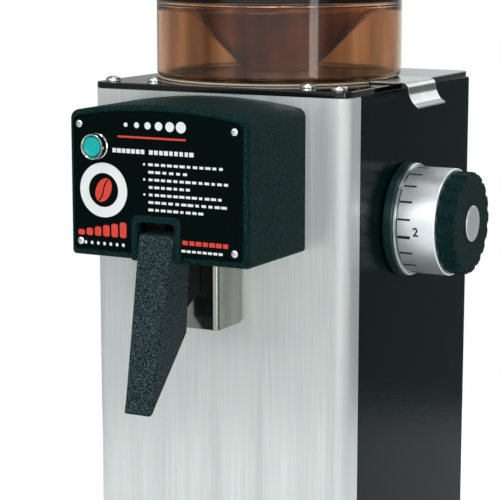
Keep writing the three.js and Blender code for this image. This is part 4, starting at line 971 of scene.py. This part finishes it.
def lever_outline(inset, level):
    share = (lever_top - level) / (lever_top - lever_low)
    front = -(front_top + (front_low - front_top) * share) + inset
    side = half_top + (half_low - half_top) * share - inset
    down = (lever_top - level) / (lever_top - knee)
    tip = (knee - level) / (knee - lever_low)
    rear = -(rear_top + lean * down) if level > knee else -(rear_knee + (rear_low - rear_knee) * tip)
    edge = min(lever_edge, (rear - front) * lever_edge_share)
    points = [(-side, front), (side, front), (side, rear), (-side, rear)]
    return rounded(points, [edge, edge, edge / 2, edge / 2], 5)


levels = [(0.7, lever_low), (0.2, lever_low + 0.4), (0, lever_low + blunt)]
levels += [(0, lever_low + blunt + (knee - lever_low - blunt) * i / 6) for i in range(1, 7)]
levels += [(0, knee + (crown - knee) * i / 6) for i in range(1, 7)]
levels += [(crown_round * (1 - math.cos(a)), crown + crown_round * math.sin(a)) for a in arc(5, 1)]
shape = cut(layered(lever_outline, "z", levels), [pin_bore()])
settle("clamp_lever", shape, "lever_black", "clamp_lever", "textured_black", ["lever"], 30)

outline = rounded([(-64.8, 344), (-41, 354), (-41, 382), (-64.8, 382)], 1.2, 4)
shape = softened(pushed(outline, "x", -9, 9), 0.6, 60)
settle("pad", shape, "rubber", "clamp_lever", replaces=["clamp_pad"])

# %% [markdown]
# ## Granulation dial
# The dial is four turned pieces on one axis: a black flange with a rounded edge, a bright
# chamfered ring, a satin scale drum, and a silver disc in the middle of the fluted black hand
# grip. The scale's marks are grown by a tree that sets a thin bar on the drum at every step, with
# a bolder bar at each number.

# %% The turned pieces of the dial
axis_point = (0, axis_y, axis_z)
drum_radius = 42
dial_rows = {
    "flange": (
        "satin_black", "label_black", "dial_flange", 40, 160, 5,
        [(20.3, 111.5), (44.8, 111.5), (44.8, 119.9), (20.3, 119.9)], [0.4, 0.8, 1.6, 0.4],
    ),
    "chamfer_ring": (
        "ring_steel", "chrome", "dial_ring", 25, 160, 3,
        [
            (30, 120.2), (44.2, 120.2), (44.2, 120.5), (43.5, 121.2), (42.4, 121.2), (42.4, 122.2),
            (30, 122.2),
        ],
        [0, 0.1, 0.15, 0.15, 0.1, 0.1, 0],
    ),
    "drum": (
        "dial_silver", "dial_silver", "dial_drum", 40, 160, 4,
        [(30, 122.5), (drum_radius, 122.5), (drum_radius, 153.5), (30, 153.5)], [0.3, 0.5, 1.0, 0.3],
    ),
    "cap_disc": (
        "dial_silver", "dial_silver", "dial_cap", 35, 72, 3,
        [(0, 168.1), (14, 168.1), (14, 169.3), (11.5, 169.3), (10.5, 169.0), (0, 169.0)],
        [0, 0.1, 0.5, 0.3, 0.3, 0],
    ),
}
for name, (finish, slot, node, sharp, steps, soft_steps, profile, radii) in dial_rows.items():
    shape = turned(rounded(profile, radii, soft_steps), "x", axis_point, steps)
    settle(name, shape, finish, "dial", slot, [node], sharp)

# %% The fluted grip
flutes, flute_steps, flute_radius, flute_depth = 18, 12, 4, 2.2
grip_radius, grip_bore, grip_front = 40, 20.3, 155.8


def fluted(radius):
    """A circle with round flutes cut in it. Every flute has the same number of points."""
    reach = grip_radius - flute_depth + flute_radius
    points = []
    for i, angle in enumerate(circle(flutes * flute_steps)):
        off = (i % flute_steps - flute_steps / 2) * 2 * math.pi / (flutes * flute_steps)
        cross = reach * math.sin(off)
        hollow = radius
        if abs(cross) < flute_radius:
            chord = math.sqrt(flute_radius**2 - cross**2)
            hollow = reach * math.cos(off) - chord - (grip_radius - radius)
        size = min(radius, hollow)
        points.append((size * math.cos(angle), size * math.sin(angle)))
    return points


rings = []
for inset, level in edge_levels(153.8, 167.8, 1.2, 2.4, 5):
    ring = upright(fluted(grip_radius - inset), "x", level)
    rings.append([point + Vector(axis_point) for point in ring])
head = cut(stacked(rings), [rod(grip_bore, 150, grip_front, "x", axis_point, steps=96)])
shape = joined(head, [tube(grip_bore, 29.7, 120.2, grip_front, "x", axis_point, 0.3, 96)])
settle("grip", shape, "textured_black", "dial", replaces=["dial_grip"], sharp=40)

# %% The tree that grows the scale's marks
tree, source = new_tree(
    "scale_marks", Material="Finish", Int="Count, Bold every",
    Float="Step, First, Radius, Start, Length, Width, Bold width",
)
index = add(tree, "GeometryNodeInputIndex").outputs[0]
angle = calc(tree, "ADD", calc(tree, "MULTIPLY", index, source["Step"]), source["First"])
side = calc(tree, "MULTIPLY", calc(tree, "COSINE", angle), source["Radius"])
rise = calc(tree, "MULTIPLY", calc(tree, "SINE", angle), source["Radius"])
along = calc(tree, "ADD", source["Start"], calc(tree, "MULTIPLY", source["Length"], 0.5))
where = add(tree, "ShaderNodeCombineXYZ", {0: along, 1: side, 2: rise}).outputs[0]
points = add(tree, "GeometryNodePoints", {"Count": source["Count"], "Position": where})
size = add(tree, "ShaderNodeCombineXYZ", {0: source["Length"], 1: 0.2, 2: source["Width"]})
bar_mesh = add(tree, "GeometryNodeMeshCube", {"Size": size.outputs[0]})
turn = add(tree, "FunctionNodeAxisAngleToRotation", {"Axis": (1, 0, 0), "Angle": angle})
is_bold = calc(tree, "COMPARE", calc(tree, "MODULO", index, source["Bold every"]), 0.0)
gain = calc(tree, "SUBTRACT", source["Bold width"], 1.0)
wide = calc(tree, "ADD", 1.0, calc(tree, "MULTIPLY", is_bold, gain))
scale = add(tree, "ShaderNodeCombineXYZ", {0: 1.0, 1: 1.0, 2: wide})
end_tree(tree, source, {
    "Points": points.outputs[0], "Instance": bar_mesh.outputs[0],
    "Rotation": turn.outputs[0], "Scale": scale.outputs[0],
})

# %% The marks and numbers
mark_step = 2 * math.pi / 19
first_mark = math.pi + math.radians(11)
bold_every = 6
number_size, number_start, number_lift = 9.5, 135.6, 0.06
values = {
    "Finish": finishes["print_black"], "Count": 18, "Step": mark_step,
    "First": first_mark - mark_step * bold_every, "Radius": drum_radius, "Start": 122.9,
    "Length": 10.5, "Width": 1.6, "Bold every": bold_every, "Bold width": 1.4,
}
marks = grown(tree, [], values)
marks.transform(Matrix.Translation(axis_point))
settle("scale_marks", marks, "print_black", "dial", "label_black")

numbers = []
for i, text in enumerate("321"):
    curve = bpy.data.curves.new("number_" + text, "FONT")
    curve.body, curve.size, curve.resolution_u = text, number_size, 4
    curve.align_x, curve.align_y = "LEFT", "CENTER"
    curve.extrude, curve.offset = 0.05, 0.22
    piece = linked("number_" + text, curve)
    graph = bpy.context.evaluated_depsgraph_get()
    mesh = bpy.data.meshes.new_from_object(piece.evaluated_get(graph))
    bpy.data.objects.remove(piece)
    bpy.data.curves.remove(curve)
    middle = first_mark + mark_step * (bold_every * (1 - i)) - math.radians(6)
    for vertex in mesh.vertices:
        x, y, z = vertex.co
        around = middle - y / drum_radius
        radius = drum_radius + number_lift + z
        vertex.co = (
            number_start + x, axis_y + radius * math.cos(around), axis_z + radius * math.sin(around)
        )
    numbers.append(mesh_shape(mesh))
settle("scale_numbers", gathered(numbers), "print_black", "dial", "label_black")

# %% [markdown]
# ## Print on the label
# The plate is printed in white and red with plain marks: dots that grow, rows of dashes, coloured
# rules, and a round sign with a coffee bean. Ink is thin but real, so each mark is a very flat
# solid, and one tree grows every row of dashes.

# %% The tree that grows a row of dashes
longest_dash = 0.86
tree, source = new_tree(
    "row_of_dashes", Material="Finish", Int="Columns, Seed", Float="Width, Dash height, Depth, Shortest"
)
inputs = {"Size X": source["Width"], "Size Y": 0.0, "Vertices X": source["Columns"], "Vertices Y": 1}
grid = add(tree, "GeometryNodeMeshGrid", inputs)
pitch = calc(tree, "DIVIDE", source["Width"], calc(tree, "SUBTRACT", source["Columns"], 1.0))
size = add(tree, "ShaderNodeCombineXYZ", {0: pitch, 1: source["Depth"], 2: source["Dash height"]})
dash = add(tree, "GeometryNodeMeshCube", {"Size": size.outputs[0]})
inputs = {2: source["Shortest"], 3: longest_dash, "Seed": source["Seed"]}
chance = add(tree, "FunctionNodeRandomValue", inputs, data_type="FLOAT")
scale = add(tree, "ShaderNodeCombineXYZ", {0: chance.outputs[1], 1: 1.0, 2: 1.0})
end_tree(tree, source, {
    "Points": grid.outputs[0], "Instance": dash.outputs[0], "Scale": scale.outputs[0],
})
dash_tree = tree

# %% Solids for the print
print_back, print_front = -89.48, -89.62


def bar(low_x, low_z, high_x, high_z):
    corner = min(high_z - low_z, high_x - low_x) * 0.3
    return pushed(rectangle(low_x, low_z, high_x, high_z, corner, 0, 3), "y", print_front, print_back)


def dot(x, z, radius):
    return rod(radius, print_front, print_back, "y", (x, 0, z), steps=28)


def dashes(low_x, high_x, z, columns, height, seed, finish="print_white", shortest=0.5):
    values = {
        "Finish": finishes[finish], "Width": high_x - low_x, "Columns": columns, "Seed": seed,
        "Dash height": height, "Depth": print_back - print_front, "Shortest": shortest,
    }
    mesh = grown(dash_tree, [], values)
    middle = ((low_x + high_x) / 2, (print_back + print_front) / 2, z)
    mesh.transform(Matrix.Translation(middle))
    return mesh_shape(mesh)


# %% The white print
line_left, line_top, line_low = -7, 455, 422
line_ends = [56, 27, 60, 29, 55, 58.5, 39.5]
line_pitch = (line_top - line_low) / (len(line_ends) - 1)
word_pitch = 5.3
sign_x, sign_z = -44.6, 434

white = [dot(-25 + 9.2 * i, 483, 1.6 + 0.5 * i) for i in range(6)]
white.append(dashes(-35, -11, 463.9, 7, 3.2, 5, shortest=0.6))
white.append(dashes(-4, 29.5, 463.9, 9, 3.2, 6, shortest=0.6))
for i, line_end in enumerate(line_ends):
    z = line_top - line_pitch * i
    words = round((line_end - line_left) / word_pitch)
    half_word = (line_end - line_left) / words / 2
    white.append(dashes(line_left + half_word, line_end - half_word, z, words, 1.9, 20 + i))
    if i in (0, 2, 4):
        white.append(dot(-9.8, z, 0.9))
white.append(dashes(22.5, 53, 393.9, 8, 1.8, 31, shortest=0.7))
white += [bar(-67 + 5.4 * i, 393.0, -64.9 + 5.4 * i, 395.4) for i in range(1, 8)]
white.append(tube(12.6, 20.2, print_front, print_back, "y", (sign_x, 0, sign_z), 0, 72))
settle("white_print", gathered(white), "print_white", slot="label_black", sharp=40)

# %% [markdown]
# The coffee bean is an oval in two halves, with a curved gap between them.

# %% The red print
length, width, tilt = 19, 12.5, math.radians(-28)
count, apart, gap_half, gap_sway, gap_share = 18, 0.05, 0.55, 0.9, 0.97

red = [bar(-32, 473.5, 25, 474.9)]
red.append(dashes(24, 57, 400, 7, 3.2, 41, "print_red", 0.7))
for side in (-1, 1):
    angles = [math.pi * i / count for i in range(count + 1)]
    outer = [(side * (apart + width / 2 * math.sin(a)), length / 2 * math.cos(a)) for a in angles]
    inner = []
    for i in range(1, count):
        sway = gap_sway * math.sin(2 * math.pi * i / count)
        inner.append((side * gap_half + sway, length / 2 * (2 * i / count - 1) * gap_share))
    outline = []
    for u, v in outer + inner:
        x, z = u * math.cos(tilt) - v * math.sin(tilt), u * math.sin(tilt) + v * math.cos(tilt)
        outline.append((sign_x + x, sign_z + z))
    red.append(pushed(outline, "y", print_front, print_back))
red += [bar(-67 + 7.2 * i, 399.6, -61.4 + 7.2 * i, 403.6 + 1.5 * i) for i in range(6)]
settle("red_print", gathered(red), "print_red", slot="label_black", sharp=40)

# %% [markdown]
# ## Cable gland
# A nylon gland low on the back leads the mains cord in. It has a hexagon to hold it by and a
# domed cap with grip ribs. Its bore is open and no cord is made.

# %% The gland
centre = (-70, 0, 90)
nut_radius, rib_steps, rib_radius, rib_height, ribs_round = 11.5, 96, 10.6, 0.45, 24

angles = [math.pi * i / 3 for i in range(6)]
hexagon = [(nut_radius * math.cos(a), nut_radius * math.sin(a)) for a in angles]
nut = [(centre[0] + u, centre[2] + v) for u, v in rounded(hexagon, 1.2, 3)]
ribs = []
for i, angle in enumerate(circle(rib_steps)):
    radius = rib_radius + rib_height * math.cos(ribs_round * 2 * math.pi * i / rib_steps)
    ribs.append((radius * math.cos(angle), radius * math.sin(angle)))
rings = []
for scale, level in ((1, 255.0), (1, 259.0), (0.96, 261.0), (0.88, 262.8), (0.75, 264.1)):
    rings.append(upright([(centre[0] + scale * u, centre[2] + scale * v) for u, v in ribs], "y", level))
shape = pushed(nut, "y", 250.1, 255.1)
shape = joined(shape, [stacked(rings), rod(8, 241.1, 250.3, "y", centre, 0.4, 48)])
shape = softened(cut(shape, [rod(4.2, 235, 270, "y", centre, steps=40)]), 0.25, 60)
settle("gland", shape, "black_nylon", replaces=["cable_gland"])

# %% [markdown]
# ## The pieces inside
# The motor, burrs, chutes and switch keep their solids from the frame, with the finish that each
# one's material slot names.

# %% Dressing the pieces that stay
slots = {part["node"]: part["material_slot"] for part in frame["record"]["subparts"]}
dressed = []
for name, node in frame["nodes"].items():
    finish = finishes[slots[name]]
    node.data.materials.clear()
    node.data.materials.append(finish)
    dressed.append((name, finish.name))
print("dressed:", dressed)

# %% [markdown]
# ## Studio
# A pale round table top, a white background and large soft lamps. The white comes from what the
# camera sees, not from more light, so dark paint stays dark. The table top glows more towards its
# rim, where it meets the background, and keeps the shadow round the feet. Shiny pieces mirror the
# same white studio, which fades in three directions: to about a quarter at the back on the right,
# a third far to the left and a half straight overhead.

# %% The table top
table_radius, table_middle = 950, (28.65, 69.55, 0)
glow_least, glow_most, glow_start, glow_end, mirror_glow = 0.25, 0.75, 0.3, 0.9, 0.25

floor = as_object(rod(table_radius, -20, 0, "z", table_middle, 4, 160), "table_top")
floor.data.transform(to_part)
inputs = {"Roughness": 0.9, "Specular IOR Level": 0.05, "Emission Color": (1, 1, 1, 1)}
group, surface, place = new_finish("table_paper", inputs)
cloud = grain(group, place, 3.0, detail=2.0)
paint(group, surface, cloud, (0.78, 0.78, 0.78), (0.80, 0.80, 0.80))
rays = add(group, "ShaderNodeLightPath").outputs
away = add(group, "ShaderNodeVectorMath", {0: place}, operation="LENGTH").outputs["Value"]
paler = ramp(group, away, glow_least, glow_most, glow_start, glow_end)
direct = calc(group, "MULTIPLY", rays["Is Camera Ray"], paler)
either = calc(group, "MAXIMUM", rays["Is Glossy Ray"], rays["Is Transmission Ray"])
glow = calc(group, "MAXIMUM", direct, calc(group, "MULTIPLY", either, mirror_glow))
group.links.new(glow, surface.inputs["Emission Strength"])
floor.data.materials.append(finishes["table_paper"])
floor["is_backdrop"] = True

# %% The world
world = bpy.data.worlds.new("studio")
bpy.context.scene.world = world
world.use_nodes = True
group = world.node_tree
group.nodes.clear()
dimmer_ways = {
    "back_right": ((0.85, 0.5, 0), 0.3, 0.75, 0.25),
    "far_left": ((-1, 0, 0), 0.25, 0.6, 0.3),
    "overhead": ((0, 0, 1), 0.72, 0.92, 0.45),
}


def background(colour, strength):
    return add(group, "ShaderNodeBackground", {"Color": (*colour, 1), "Strength": strength}).outputs[0]


path = add(group, "ShaderNodeLightPath").outputs
way = add(group, "ShaderNodeTexCoord").outputs["Generated"]
mirrored = 1.0
for direction, start, end, least in dimmer_ways.values():
    lean = add(group, "ShaderNodeVectorMath", {0: way, 1: direction}, operation="DOT_PRODUCT")
    lean = lean.outputs["Value"]
    share = ramp(group, lean, 1.0, least, start, end, interpolation_type="SMOOTHSTEP")
    mirrored = calc(group, "MULTIPLY", share, mirrored)
soft_light = background((0.90, 0.99, 1.0), 0.42)
mirror_wall = background((0.97, 1.0, 1.0), mirrored)
white_wall = background((1, 1, 1), 1.0)
seen = calc(group, "MAXIMUM", path["Is Camera Ray"], path["Is Transmission Ray"])
unseen = add(group, "ShaderNodeMixShader", {0: path["Is Glossy Ray"], 1: soft_light, 2: mirror_wall})
mixed = add(group, "ShaderNodeMixShader", {0: seen, 1: unseen.outputs[0], 2: white_wall})
add(group, "ShaderNodeOutputWorld", {"Surface": mixed.outputs[0]})

# %% The lamps: place, size and watts
lamp_target = Vector((0, 0, 0.42))
lamps = {
    "key": ((0.35, -2.3, 1.2), (1.3, 1.0), 22),
    "right_strip": ((2.1, -1.3, 0.5), (0.35, 1.4), 6),
    "top": ((0.1, -0.3, 2.4), (0.6, 0.6), 12),
    "fill": ((-1.3, -2.0, 1.6), (1.6, 1.6), 11),
    "rear": ((0.9, 2.3, 1.5), (1.4, 1.4), 9),
}
for name, (place, size, watts) in lamps.items():
    light = bpy.data.lights.new(name, "AREA")
    light.shape = "RECTANGLE"
    light.size, light.size_y = size
    light.energy = watts
    lamp = linked(name, light)
    lamp.location = place
    lamp.rotation_euler = (lamp_target - Vector(place)).to_track_quat("-Z", "Y").to_euler()

# %% The camera
camera_data = bpy.data.cameras.new("camera")
camera_data.sensor_width, camera_data.lens = 36, 130.065
camera_data.clip_start, camera_data.clip_end = 0.05, 60
camera = linked("camera", camera_data)
camera.location = (0.63025, -1.27180, 0.61726)
camera.rotation_euler = (math.radians(90 - 9.853), 0, math.radians(27.626))
bpy.context.scene.camera = camera
bpy.context.scene.view_settings.view_transform = "Standard"

# %% The size of what is drawn
low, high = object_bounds()
print("visual box:", [round(v * 1000, 1) for v in (*low, *high)])
